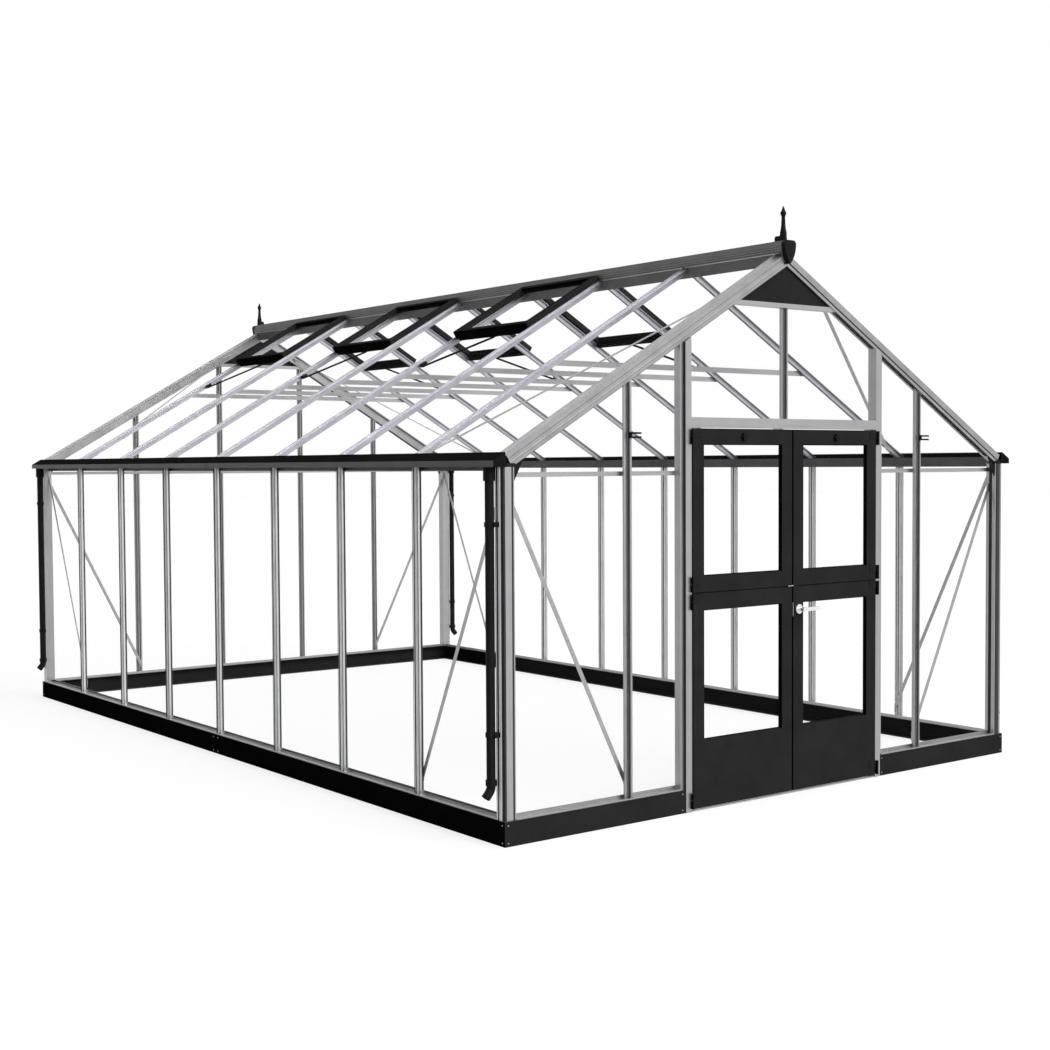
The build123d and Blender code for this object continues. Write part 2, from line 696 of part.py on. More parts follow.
# Gutters: a trough with a sloping hood over the roof's lower edge, and a web behind the wall bars
gutter_out = HALF_WIDTH + GUTTER_REACH
gutter_back = slope_point(slope_heel, 0)[0] + GUTTER_BACK_GAP
hood_foot = (gutter_out - HOOD_RISE * sin(slope)) / cos(slope)
web_x = bar_back_x - GUTTER_WALL
trough_top = EAVE_HEIGHT + GUTTER_WALL
with BuildPart() as gutters:
    with BuildSketch(Plane.XZ):
        Polygon(
            (gutter_back, EAVE_HEIGHT),
            (gutter_out, EAVE_HEIGHT),
            (gutter_out, roof_height(gutter_out, HOOD_RISE)),
            slope_point(hood_foot - HOOD_LENGTH, HOOD_RISE),
            slope_point(hood_foot - HOOD_LENGTH, HOOD_RISE - GUTTER_WALL),
            (gutter_out - GUTTER_WALL, roof_height(gutter_out - GUTTER_WALL, HOOD_RISE - GUTTER_WALL)),
            (gutter_out - GUTTER_WALL, trough_top),
            (gutter_back + GUTTER_WALL, trough_top),
            (gutter_back + GUTTER_WALL, roof_height(gutter_back + GUTTER_WALL, roof_bar_back)),
            (gutter_back, roof_height(gutter_back, roof_bar_back)),
            align=None,
        )
    extrude(amount=base_y - GUTTER_WALL, both=True)
    with BuildSketch(Plane.XZ):
        Polygon(
            (web_x, EAVE_HEIGHT - GUTTER_WEB_DROP),
            (bar_back_x, EAVE_HEIGHT - GUTTER_WEB_DROP),
            (bar_back_x, EAVE_HEIGHT),
            (gutter_back, EAVE_HEIGHT),
            (gutter_back, trough_top),
            (bar_back_x, trough_top),
            (bar_back_x, roof_height(bar_back_x, roof_bar_back)),
            (web_x, roof_height(web_x, roof_bar_back)),
            align=None,
        )
    extrude(amount=post_inner_y, both=True)
    with BuildSketch(Plane.XZ.offset(base_y - GUTTER_WALL)):
        Polygon(
            (gutter_back, EAVE_HEIGHT),
            (gutter_out, EAVE_HEIGHT),
            (gutter_out, roof_height(gutter_out, HOOD_RISE)),
            slope_point(hood_foot - HOOD_LENGTH, HOOD_RISE),
            align=None,
        )
    end_cap = extrude(amount=GUTTER_WALL)
    mirror(end_cap, about=Plane.XZ)
    mirror(about=Plane.YZ)
write(gutters, "gutters")

# Downpipes with a funnel, two clamps on the corner post and an elbow turned outwards
pipe_x = (HALF_WIDTH + gutter_out) / 2
pipe_y = half_length - PIPE_SETBACK
with BuildPart() as downpipes:
    with BuildLine(Plane.XZ.offset(-pipe_y)):
        drop = Line((pipe_x, EAVE_HEIGHT), (pipe_x, PIPE_ELBOW_HEIGHT))
        bend = JernArc(drop @ 1, drop % 1, PIPE_ELBOW_RADIUS, PIPE_ELBOW_ANGLE)
        Line(bend @ 1, bend @ 1 + (bend % 1) * PIPE_SPOUT_LENGTH)
    with BuildSketch(Plane(origin=drop @ 0, z_dir=drop % 0)):
        Circle(PIPE_RADIUS)
        Circle(PIPE_RADIUS - PIPE_WALL, mode=Mode.SUBTRACT)
    sweep()
    for base, height, growth in (
        (EAVE_HEIGHT - PIPE_FUNNEL_HEIGHT, PIPE_FUNNEL_HEIGHT, PIPE_FUNNEL_GROWTH),
        (PIPE_ELBOW_HEIGHT, PIPE_COLLAR_HEIGHT, PIPE_COLLAR_GROWTH),
        (CLAMP_LEVELS[0], CLAMP_HEIGHT, CLAMP_GROWTH),
        (CLAMP_LEVELS[1], CLAMP_HEIGHT, CLAMP_GROWTH),
    ):
        with BuildSketch(Plane.XY.offset(base)):
            with Locations((pipe_x, pipe_y)):
                Circle(PIPE_RADIUS + growth)
                Circle(PIPE_RADIUS - PIPE_WALL, mode=Mode.SUBTRACT)
        extrude(amount=height)
    for base in CLAMP_LEVELS:
        with BuildSketch(Plane.XY.offset(base)):
            tab = pipe_y + CLAMP_REACH - post_inner_y
            with Locations((post_outer_x, post_inner_y)):
                Rectangle(pipe_x - post_outer_x, tab, align=Align.MIN)
            with Locations((pipe_x, pipe_y)):
                Circle(PIPE_RADIUS, mode=Mode.SUBTRACT)
        extrude(amount=CLAMP_HEIGHT)
    mirror(about=Plane.YZ)
    mirror(about=Plane.XZ)
write(downpipes, "downpipes")


def brace_points(run_start, run_end, rise_start, rise_end):
    """Corners of a flat brace that is cut upright at both ends of its run."""
    fall = (rise_end - rise_start) / (run_end - run_start)
    half = BRACE_WIDTH / 2 * (1 + fall * fall) ** 0.5
    return [
        (run_start, rise_start - half),
        (run_end, rise_end - half),
        (run_end, rise_end + half),
        (run_start, rise_start + half),
    ]


# Wall braces: from the corner posts down to the first bar of each wall and gable
first_bar = bar_lines[-1]
brace_foot_x = GABLE_BAR_X - BAR_CHANNEL_WIDTH / 2
brace_foot_y = first_bar - BAR_CHANNEL_WIDTH / 2
wall_brace_head = EAVE_HEIGHT - BRACE_HEAD_DROP
gable_brace_head = EAVE_HEIGHT - GABLE_BRACE_HEAD_DROP
with BuildPart() as wall_braces:
    with BuildSketch(Plane(origin=(bar_back_x - BRACE_THICK, 0, 0), x_dir=(0, 1, 0), z_dir=(1, 0, 0))):
        Polygon(*brace_points(brace_foot_y, post_inner_y, BRACE_FOOT, wall_brace_head), align=None)
    extrude(amount=BRACE_THICK)
    with BuildSketch(Plane.XZ.offset(bar_back_y - BRACE_THICK)):
        Polygon(*brace_points(brace_foot_x, post_inner_x, BRACE_FOOT, gable_brace_head), align=None)
    extrude(amount=BRACE_THICK)
    mirror(about=Plane.YZ)
    mirror(about=Plane.XZ)
write(wall_braces, "wall_braces")

with BuildPart() as roof_braces:
    roof_brace = brace_points(brace_foot_y, rafter_inner_y, ROOF_BRACE_FOOT, ROOF_BRACE_HEAD)
    with BuildSketch(slope_plane(1, roof_bar_back - BRACE_THICK)):
        Polygon(*[(s, t) for t, s in roof_brace], align=None)
    extrude(amount=BRACE_THICK)
    mirror(about=Plane.YZ)
    mirror(about=Plane.XZ)
write(roof_braces, "roof_braces")

# Cross ties beside the bolt channel of each pair of roof bars
with BuildPart() as cross_ties:
    tie_top = tie_base + TIE_HEIGHT
    tie_cut = roof_flange - BAR_FLANGE_THICK - CLEARANCE
    tie_reach = [(roof_height(0, tie_cut) - z) / tan(slope) for z in (tie_base, tie_top)]
    for y in bar_lines:
        with BuildSketch(Plane.XZ.offset(-y - BAR_CHANNEL_WIDTH / 2 - TIE_THICK)):
            Polygon(
                (-tie_reach[0], tie_base),
                (tie_reach[0], tie_base),
                (tie_reach[1], tie_top),
                (-tie_reach[1], tie_top),
                align=None,
            )
    extrude(amount=TIE_THICK)
write(cross_ties, "cross_ties")

# Roof windows, closed, hinged under the ridge and resting on the bar stems
window_width = BAY + 2 * WINDOW_LAP
window_s = slope_start + CLEARANCE + (WINDOW_LENGTH - CLEARANCE) / 2
window_t = bay_lines[WINDOW_SKIP_COUNT::WINDOW_STEP_COUNT]
window_run = WINDOW_LENGTH - CLEARANCE
with BuildPart() as roof_window_frames:
    for side in sides:
        with BuildSketch(slope_plane(side, ROOF_TIP_RISE)):
            with Locations(*[(window_s, side * t) for t in window_t]):
                Rectangle(window_run, window_width)
                Rectangle(window_run - 2 * WINDOW_RAIL, window_width - 2 * WINDOW_RAIL, mode=Mode.SUBTRACT)
    extrude(amount=WINDOW_DEPTH)
write(roof_window_frames, "roof_window_frames")

with BuildPart() as roof_window_glass:
    pane_trim = 2 * (WINDOW_RAIL + CLEARANCE)
    for side in sides:
        with BuildSketch(slope_plane(side, ROOF_TIP_RISE + (WINDOW_DEPTH - GLASS_THICK) / 2)):
            with Locations(*[(window_s, side * t) for t in window_t]):
                Rectangle(window_run - pane_trim, window_width - pane_trim)
    extrude(amount=GLASS_THICK)
write(roof_window_glass, "roof_window_glass")

between_stems = BAY - BAR_STEM_WIDTH - 2 * CLEARANCE
between_flanges = BAY - BAR_FLANGE_WIDTH - 2 * CLEARANCE
sill_s = window_end - WINDOW_SILL_WIDTH / 2
with BuildPart() as window_sills:
    for side in sides:
        with BuildSketch(slope_plane(side, roof_flange)):
            with Locations(*[(sill_s, side * t) for t in window_t]):
                Rectangle(WINDOW_SILL_WIDTH, between_stems)
    extrude(amount=BAR_STEM_DEPTH)
    for side in sides:
        with BuildSketch(slope_plane(side, -WINDOW_SILL_DEPTH)):
            with Locations(*[(sill_s, side * t) for t in window_t]):
                Rectangle(WINDOW_SILL_WIDTH, between_flanges)
    extrude(amount=WINDOW_SILL_DEPTH + roof_flange)
write(window_sills, "window_sills")

# Window stays: flat arms running aslant from the window sill to a block beside the next roof bar
stay_base = -WINDOW_SILL_DEPTH - STAY_THICK
stay_run = (BAY - BAR_CHANNEL_WIDTH) / 2 - STAY_BLOCK
stay_fall = stay_run / tan(radians(STAY_ANGLE))
stay_half = STAY_WIDTH / 2 / sin(radians(STAY_ANGLE))
with BuildPart() as window_stays:
    for side in sides:
        with BuildSketch(slope_plane(side, stay_base)):
            for t in window_t:
                start, finish = (sill_s, side * t), (sill_s + stay_fall, side * t - stay_run)
                Polygon(
                    (start[0] - stay_half, start[1]),
                    (finish[0] - stay_half, finish[1]),
                    (finish[0] + stay_half, finish[1]),
                    (start[0] + stay_half, start[1]),
                    align=None,
                )
    extrude(amount=STAY_THICK)
    for side in sides:
        with BuildSketch(slope_plane(side, stay_base)):
            block_t = stay_run + STAY_BLOCK / 2
            with Locations(*[(sill_s + stay_fall, side * t - block_t) for t in window_t]):
                Rectangle(STAY_BLOCK, STAY_BLOCK)
    extrude(amount=STAY_THICK + WINDOW_SILL_DEPTH)
write(window_stays, "window_stays")

# Wall glass: panes between the bar stems, against the bar flanges
pane_width = BAY - BAR_STEM_WIDTH - 2 * GLASS_CLEARANCE
end_pane_start = first_bar + BAR_STEM_WIDTH / 2 + GLASS_CLEARANCE
pane_top = EAVE_HEIGHT - GLASS_CLEARANCE


def pane_spans(end):
    """Middle and width of each pane along a side, for panes that stop at a distance end from the middle."""
    spans = [(y, pane_width) for y in bay_lines[1:-1]]
    for way in sides:
        spans.append((way * (end_pane_start + end) / 2, end - end_pane_start))
    return spans


with BuildPart() as wall_glass:
    with BuildSketch(Plane.XY.offset(sill_top)):
        for y, width in pane_spans(post_inner_y - CLEARANCE):
            with Locations((HALF_WIDTH - BAR_STEM_DEPTH + GLASS_THICK / 2, y)):
                Rectangle(GLASS_THICK, width)
    extrude(amount=pane_top - sill_top)
    mirror(about=Plane.YZ)
write(wall_glass, "wall_glass")

# Roof glass: full panes, and short ones below the windows
with BuildPart() as roof_glass:
    with BuildSketch(slope_plane(1, roof_flange)):
        for t, width in pane_spans(rafter_inner_y - GLASS_CLEARANCE):
            start = window_end if t in window_t else slope_start
            run = slope_end - start - GLASS_CLEARANCE
            with Locations((slope_end - run / 2, t)):
                Rectangle(run, width)
    extrude(amount=GLASS_THICK)
    mirror(about=Plane.YZ)
write(roof_glass, "roof_glass")


def gable_pane_field(top):
    """Corners of the glazed part of a gable, from the sill up to a level top edge."""
    foot = post_inner_x - CLEARANCE
    eave = roof_height(foot, -RAFTER_DEPTH) - GLASS_CLEARANCE
    head = under_slope_x(top, GLASS_CLEARANCE)
    return [(-foot, sill_top), (foot, sill_top), (foot, eave), (head, top), (-head, top), (-foot, eave)]


gable_top = transom_base - GLASS_CLEARANCE
stem_gap = BAR_STEM_WIDTH + 2 * GLASS_CLEARANCE
gable_glass_y = half_length - BAR_STEM_DEPTH
with BuildPart() as gable_glass:
    with BuildSketch(Plane.XZ.offset(-gable_glass_y - GLASS_THICK)):
        Polygon(*gable_pane_field(gable_top), align=None)
        with Locations(*[(way * x, ridge_line / 2) for x in (GABLE_BAR_X, BACK_BAR_X) for way in sides]):
            Rectangle(stem_gap, ridge_line, mode=Mode.SUBTRACT)
    extrude(amount=GLASS_THICK)
    with BuildSketch(Plane.XZ.offset(gable_glass_y)):
        Polygon(*gable_pane_field(gable_top), align=None)
        with Locations(*[(x, ridge_line / 2) for x in (-GABLE_BAR_X, 0, GABLE_BAR_X)]):
            Rectangle(stem_gap, ridge_line, mode=Mode.SUBTRACT)
        with Locations((0, header_top / 2)):
            Rectangle(2 * door_post_x, header_top + 2 * GLASS_CLEARANCE, mode=Mode.SUBTRACT)
        with Locations(*[(way * (jamb_inner_x + door_post_x) / 2, ridge_line / 2) for way in sides]):
            Rectangle(door_post_x - jamb_inner_x + 2 * GLASS_CLEARANCE, ridge_line, mode=Mode.SUBTRACT)
    extrude(amount=GLASS_THICK)
write(gable_glass, "gable_glass")

# Door leaves: four framed leaves between the jambs, each with two hinge knuckles and a pane
leaf_levels = {
    "lower": (LEAF_FOOT, LEAF_SPLIT - SPLIT_GAP / 2),
    "upper": (LEAF_SPLIT + SPLIT_GAP / 2, HEADER_BASE),
}
pane_levels = {
    "lower": (KICK_PANEL_TOP, leaf_levels["lower"][1] - LOWER_TOP_RAIL),
    "upper": (leaf_levels["upper"][0] + UPPER_BOTTOM_RAIL, HEADER_BASE - UPPER_TOP_RAIL),
}
leaf_spans = {
    "left": (-leaf_edge, MEETING_X - LEAF_GAP / 2),
    "right": (MEETING_X + LEAF_GAP / 2, leaf_edge),
}
knuckle_height = HINGE_HEIGHT / 2
hinge_bases = [
    base
    for low, high in leaf_levels.values()
    for base in (low + HINGE_INSET, high - HINGE_INSET - HINGE_HEIGHT)
]


def box_points(x_span, z_span, margin=0):
    """Corners of a rectangle over two spans, with a margin added all round."""
    left, right = x_span[0] - margin, x_span[1] + margin
    low, high = z_span[0] - margin, z_span[1] + margin
    return [(left, low), (right, low), (right, high), (left, high)]


for level, (low, high) in leaf_levels.items():
    for hand, x_span in leaf_spans.items():
        way = -1 if hand == "left" else 1
        pane_x = (x_span[0] + STILE_WIDTH, x_span[1] - STILE_WIDTH)
        with BuildPart() as leaf_frame:
            with BuildSketch(Plane.XZ.offset(leaf_back)):
                Polygon(*box_points(x_span, (low, high)), align=None)
                Polygon(*box_points(pane_x, pane_levels[level]), align=None, mode=Mode.SUBTRACT)
            extrude(amount=LEAF_THICK)
            with BuildSketch(Plane.XZ.offset(leaf_back)):
                Polygon(*box_points(pane_x, pane_levels[level], REBATE_WIDTH), align=None)
            extrude(amount=REBATE_DEPTH, mode=Mode.SUBTRACT)
            for base in (low + HINGE_INSET, high - HINGE_INSET - HINGE_HEIGHT):
                with BuildSketch(Plane.XY.offset(base + knuckle_height + CLEARANCE)):
                    with Locations((way * hinge_x, hinge_y)):
                        Circle(HINGE_RADIUS)
                    plate_x = way * (hinge_x - HINGE_PLATE_LENGTH / 2)
                    with Locations((plate_x, -leaf_front - HINGE_PLATE_THICK / 2)):
                        Rectangle(HINGE_PLATE_LENGTH, HINGE_PLATE_THICK)
                    with Locations((way * hinge_x, hinge_y)):
                        Circle(PIN_RADIUS + PIN_CLEARANCE, mode=Mode.SUBTRACT)
                extrude(amount=knuckle_height - CLEARANCE)
        write(leaf_frame, f"{level}_{hand}_door_frame")
        with BuildPart() as leaf_glass:
            with BuildSketch(Plane.XZ.offset(leaf_back + REBATE_DEPTH - GLASS_THICK)):
                Polygon(*box_points(pane_x, pane_levels[level], REBATE_WIDTH - CLEARANCE), align=None)
            extrude(amount=GLASS_THICK)
        write(leaf_glass, f"{level}_{hand}_door_glass")

# Fixed hinge halves on the jambs: a bracket, a lower knuckle and the pin
with BuildPart() as door_hinges:
    for base in hinge_bases:
        with BuildSketch(Plane.XY.offset(base)):
            with Locations((hinge_x, hinge_y)):
                Circle(HINGE_RADIUS)
                bracket_depth = -hinge_y - jamb_front
                Rectangle(HINGE_RADIUS, bracket_depth, align=(Align.MIN, Align.MIN))
        extrude(amount=knuckle_height)
        with BuildSketch(Plane.XY.offset(base + knuckle_height)):
            with Locations((hinge_x, hinge_y)):
                Circle(PIN_RADIUS)
        extrude(amount=knuckle_height)
    mirror(about=Plane.YZ)
write(door_hinges, "door_hinges")

# Lever handle on the lower right leaf: rosette, spindle and a rounded lever
handle_x = leaf_spans["right"][0] + STILE_WIDTH / 2
with BuildPart() as door_handle:
    for start, length, radius in (
        (leaf_front, ROSETTE_THICK, ROSETTE_RADIUS),
        (leaf_front + ROSETTE_THICK, SPINDLE_LENGTH - LEVER_THICK / 2, SPINDLE_RADIUS),
    ):
        with BuildSketch(Plane.XZ.offset(start)):
            with Locations((handle_x, handle_height)):
                Circle(radius)
        extrude(amount=length)
    with BuildSketch(Plane.XZ.offset(leaf_front + ROSETTE_THICK + SPINDLE_LENGTH - LEVER_THICK)):
        with Locations((handle_x + LEVER_LENGTH / 2, handle_height)):
            SlotOverall(LEVER_LENGTH + LEVER_HEIGHT, LEVER_HEIGHT)
    extrude(amount=LEVER_THICK)
write(door_handle, "door_handle")

# Star knobs that bolt the upper leaves to the header
for hand, x_span in leaf_spans.items():
    with BuildPart() as knob:
        with BuildSketch(Plane.XZ.offset(leaf_front)):
            with Locations(((x_span[0] + x_span[1]) / 2, knob_height)):
                Circle(KNOB_STEM_RADIUS)
        extrude(amount=KNOB_STEM_LENGTH)
        with BuildSketch(Plane.XZ.offset(leaf_front + KNOB_STEM_LENGTH)):
            with Locations(((x_span[0] + x_span[1]) / 2, knob_height)):
                Circle(KNOB_RADIUS)
                with PolarLocations(KNOB_RADIUS, KNOB_LOBES):
                    Circle(KNOB_LOBE_RADIUS)
        extrude(amount=KNOB_THICK)
    write(knob, f"upper_{hand}_door_knob")
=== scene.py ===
"""Look of the glass greenhouse: materials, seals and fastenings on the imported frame, light and camera.

Metres, in the frame of the CAD model: +Z up, X across the front gable, the doors face -Y.
"""

from math import cos, pi, radians, sin, tan

import bmesh
import bpy
from mathutils import Matrix, Vector


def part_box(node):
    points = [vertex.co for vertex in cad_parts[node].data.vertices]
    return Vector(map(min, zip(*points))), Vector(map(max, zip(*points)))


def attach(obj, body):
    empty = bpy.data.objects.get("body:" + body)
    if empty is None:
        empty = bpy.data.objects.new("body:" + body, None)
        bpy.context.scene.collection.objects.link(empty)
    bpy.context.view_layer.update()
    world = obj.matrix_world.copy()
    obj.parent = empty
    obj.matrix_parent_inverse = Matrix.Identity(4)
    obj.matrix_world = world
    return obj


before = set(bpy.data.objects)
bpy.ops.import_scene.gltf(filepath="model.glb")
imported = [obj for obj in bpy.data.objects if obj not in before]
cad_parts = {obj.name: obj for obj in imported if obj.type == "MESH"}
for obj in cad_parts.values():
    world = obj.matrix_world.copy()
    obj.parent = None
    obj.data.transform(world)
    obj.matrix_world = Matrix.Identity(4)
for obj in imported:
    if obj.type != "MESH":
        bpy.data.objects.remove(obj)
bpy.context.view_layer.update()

# Sizes of the frame that the details follow
BAY = 0.73
BAYS = 8
BAR_LINES = [BAY * i for i in range(1 - BAYS // 2, BAYS // 2)]
PITCH = radians(30)
FLANGE_HALF = 0.025
GLASS_FRONT = 0.008
PANE_THICK = 0.004
CHANNEL_HALF = 0.0105
POST_SIZE = 0.062
POST_GROOVE = 0.051
GROOVE_WIDTH = 0.01
GROOVE_DEPTH = 0.006
NOTCH_DEPTH = 0.01
NOTCH_WIDTH = 0.021
RAFTER_HEEL = 0.05
RAFTER_DEPTH = 0.058
RAFTER_GROOVE_DROP = 0.038
RAFTER_GROOVE_WIDTH = 0.009
BACK_BAR_X = 0.366
JAMB_OUTER = 0.729
JAMB_STEP = 0.015
LEAF_REVEAL = 0.022
PANE_LAP = 0.0087
SPLIT_GAP = 0.0052
HINGE_HEIGHT = 0.076
HINGE_PLATE_THICK = 0.003
HINGE_INSET = 0.003
RIDGE_CAP_THICK = 0.025
SIDES = (-1, 1)

base_low, base_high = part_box("base_sides")
post_low, post_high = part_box("corner_posts")
bar_low, bar_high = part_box("wall_bars")
gable_low, gable_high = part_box("front_gable_bars")
back_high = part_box("back_gable_bars")[1]
door_post_low, door_post_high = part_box("door_posts")
header_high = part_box("door_header")[1]
transom_low, transom_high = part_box("gable_transoms")
ridge_low, ridge_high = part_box("ridge")
gutter_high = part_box("gutters")[1]
gusset_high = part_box("eave_gussets")[1]
sill_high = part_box("side_sills")[1]
wall_x = bar_high.x
gable_y = gable_low.y
sill_top = bar_low.z
eave = bar_high.z
gable_bar_x = gable_high.x - FLANGE_HALF
heel_x = post_high.x - RAFTER_HEEL
ridge_line = eave + heel_x * tan(PITCH) + RAFTER_DEPTH / cos(PITCH)
slope_heel = heel_x * cos(PITCH) + (ridge_line - eave) * sin(PITCH)


def under_rafter(x):
    """Height of the rafter underside at a distance x from the ridge."""
    return eave + (heel_x - abs(x)) * tan(PITCH)


def roof_point(side, s, p, y):
    """Point at a distance s down one slope and p above the rafter plane."""
    return Vector((side * (s * cos(PITCH) + p * sin(PITCH)), y, ridge_line - s * sin(PITCH) + p * cos(PITCH)))


# Materials

STREAK_SHARES = (0.9, 1.06)
PATCH_SHARES = (0.93, 0.93, 0.94)
CLOUD_SHARES = (0.88, 1.15)
STREAK_ROUGHNESS = (-0.07, 0.1)
CLOUD_ROUGHNESS = (-0.06, 0.08)
STREAK_DETAIL = 3.0
PATCH_SCALE = 9
PEEL_DETAIL = 2.0
CLOUD_SCALE = 6
CLOUD_DETAIL = 6.0
FILM_SCALE = 3
FILM_DETAIL = 5.0
FILM_TINTS = ((0.9, 0.95, 0.94), (0.96, 0.98, 0.98))
FILM_ROUGHNESS = (0.02, 0.09)
FACING_RANGE = (0.55, 0.85)
STREAK_RELIEF = (0.05, 0.0004)
PEEL_RELIEF = (0.15, 0.0003)
GLASS_ALPHA = 0.003


def shader_of(name):
    """A new material and its principled shader."""
    material = bpy.data.materials.new(name)
    material.use_nodes = True
    return material, material.node_tree.nodes["Principled BSDF"]


def noise(material, stretch, detail=4.0):
    """Noise over object coordinates, with its own scale along each axis."""
    nodes, links = material.node_tree.nodes, material.node_tree.links
    place = nodes.new("ShaderNodeTexCoord")
    mapping = nodes.new("ShaderNodeMapping")
    mapping.inputs["Scale"].default_value = stretch
    texture = nodes.new("ShaderNodeTexNoise")
    texture.inputs["Scale"].default_value = 1.0
    texture.inputs["Detail"].default_value = detail
    links.new(place.outputs["Object"], mapping.inputs["Vector"])
    links.new(mapping.outputs["Vector"], texture.inputs["Vector"])
    return texture.outputs["Fac"]


def ramp(material, value, low, high, start=0.3, stop=0.7):
    """Colour between low and high, by a value between start and stop."""
    node = material.node_tree.nodes.new("ShaderNodeValToRGB")
    node.color_ramp.elements[0].position = start
    node.color_ramp.elements[1].position = stop
    node.color_ramp.elements[0].color = (*low, 1.0)
    node.color_ramp.elements[1].color = (*high, 1.0)
    material.node_tree.links.new(value, node.inputs["Fac"])
    return node.outputs["Color"]


def spread(material, value, low, high):
    """Number between low and high, by a value between 0 and 1."""
    node = material.node_tree.nodes.new("ShaderNodeMapRange")
    node.inputs["To Min"].default_value = low
    node.inputs["To Max"].default_value = high
    material.node_tree.links.new(value, node.inputs["Value"])
    return node.outputs["Result"]


def relief(material, value, strength, depth):
    """Bump from a value, wired to the shader."""
    node = material.node_tree.nodes.new("ShaderNodeBump")
    node.inputs["Strength"].default_value = strength
    node.inputs["Distance"].default_value = depth
    links = material.node_tree.links
    links.new(value, node.inputs["Height"])
    links.new(node.outputs["Normal"], material.node_tree.nodes["Principled BSDF"].inputs["Normal"])


def shade(colour, share):
    """A colour made lighter or darker by a share."""
    return tuple(channel * share for channel in colour)


def product(material, first, second):
    """Two colours multiplied."""
    node = material.node_tree.nodes.new("ShaderNodeMix")
    node.data_type = "RGBA"
    node.blend_type = "MULTIPLY"
    node.inputs["Factor"].default_value = 1.0
    material.node_tree.links.new(first, node.inputs["A"])
    material.node_tree.links.new(second, node.inputs["B"])
    return node.outputs["Result"]


def facing(material, axis):
    """How squarely a face of the piece looks along an axis, from 0 to 1."""
    nodes, links = material.node_tree.nodes, material.node_tree.links
    parts = nodes.new("ShaderNodeSeparateXYZ")
    links.new(nodes.new("ShaderNodeTexCoord").outputs["Normal"], parts.inputs["Vector"])
    size = nodes.new("ShaderNodeMath")
    size.operation = "ABSOLUTE"
    links.new(parts.outputs[axis], size.inputs[0])
    return size.outputs["Value"]


def by_facing(material, axis, aside, along):
    """Grey level that changes from faces aside of an axis to faces along it."""
    return ramp(material, facing(material, axis), (aside,) * 3, (along,) * 3, *FACING_RANGE)


def aluminium(name, colour, stretch, roughness=0.38, metallic=0.9):
    """Mill-finish extrusion: die lines along its length, with faint cloudy tone."""
    material, shader = shader_of(name)
    links = material.node_tree.links
    lines = noise(material, stretch, STREAK_DETAIL)
    cloud = noise(material, (PATCH_SCALE,) * 3)
    streaks = ramp(material, lines, *(shade(colour, share) for share in STREAK_SHARES))
    patches = ramp(material, cloud, PATCH_SHARES, (1.0, 1.0, 1.0))
    links.new(product(material, streaks, patches), shader.inputs["Base Color"])
    rough = spread(material, lines, *(roughness + step for step in STREAK_ROUGHNESS))
    links.new(rough, shader.inputs["Roughness"])
    shader.inputs["Metallic"].default_value = metallic
    relief(material, lines, *STREAK_RELIEF)
    return material


def coating(name, colour, roughness, grain, specular=0.0, painted_light_and_shade=(), metallic=0.0, painted_sheen_axis=None):
    """Powder coat or plastic: orange peel, a cloudy tone, painted light and shade on faces along some axes,
    and a painted metal sheen on faces along one axis.
    """
    material, shader = shader_of(name)
    links = material.node_tree.links
    peel = noise(material, (grain,) * 3, PEEL_DETAIL)
    dust = noise(material, (CLOUD_SCALE,) * 3, CLOUD_DETAIL)
    shown = ramp(material, dust, *(shade(colour, share) for share in CLOUD_SHARES))
    # Painted light and shade: faces along each axis are made lighter or darker by their factor.
    for axis, tone in painted_light_and_shade:
        shown = product(material, shown, by_facing(material, axis, 1.0, tone))
    links.new(shown, shader.inputs["Base Color"])
    rough = spread(material, dust, *(roughness + step for step in CLOUD_ROUGHNESS))
    links.new(rough, shader.inputs["Roughness"])
    shader.inputs["Specular IOR Level"].default_value = specular
    # Painted sheen: only faces along this axis are metallic, so only they reflect the white surround.
    if painted_sheen_axis:
        links.new(by_facing(material, painted_sheen_axis, 0.0, metallic), shader.inputs["Metallic"])
    else:
        shader.inputs["Metallic"].default_value = metallic
    relief(material, peel, *PEEL_RELIEF)
    return material


def clear_glass(name):
    """Thin clear pane: mostly see-through, with a faint film of dust."""
    material, shader = shader_of(name)
    links = material.node_tree.links
    film = noise(material, (FILM_SCALE,) * 3, FILM_DETAIL)
    links.new(ramp(material, film, *FILM_TINTS), shader.inputs["Base Color"])
    links.new(spread(material, film, *FILM_ROUGHNESS), shader.inputs["Roughness"])
    shader.inputs["Alpha"].default_value = GLASS_ALPHA
    return material


# Copies of one mill aluminium in different brightness: the side, bar and roof copies are made lighter as
# painted light, and the rafter copy darker as painted shade; the roof copy is also tinted.
ALUMINIUM = (0.385, 0.385, 0.388)
PAINTED_LIGHT_SIDE_ALUMINIUM = (0.56, 0.56, 0.563)
PAINTED_SHADE_RAFTER_ALUMINIUM = (0.34, 0.34, 0.342)
PAINTED_LIGHT_BAR_ALUMINIUM = (0.8, 0.8, 0.803)
PAINTED_LIGHT_ROOF_ALUMINIUM = (0.45, 0.444, 0.48)
BLACK = (0.026, 0.026, 0.0265)
# Painted shade: faces along X of the black coats are darkened to 0.35 of their colour.
PAINTED_SIDE_SHADE = (("X", 0.35),)
COAT_ROUGHNESS = 0.6
COAT_GRAIN = 700
COAT_METALLIC = 0.8
RUBBER_GRAIN = 1200
# Noise scales across and along the die lines: fine across an extrusion, long along it
ACROSS, ALONG, RAKE = 420, 3, 12
STRUT_SCALE, ZINC_SCALE, SATIN_SCALE = 60, 200, 300

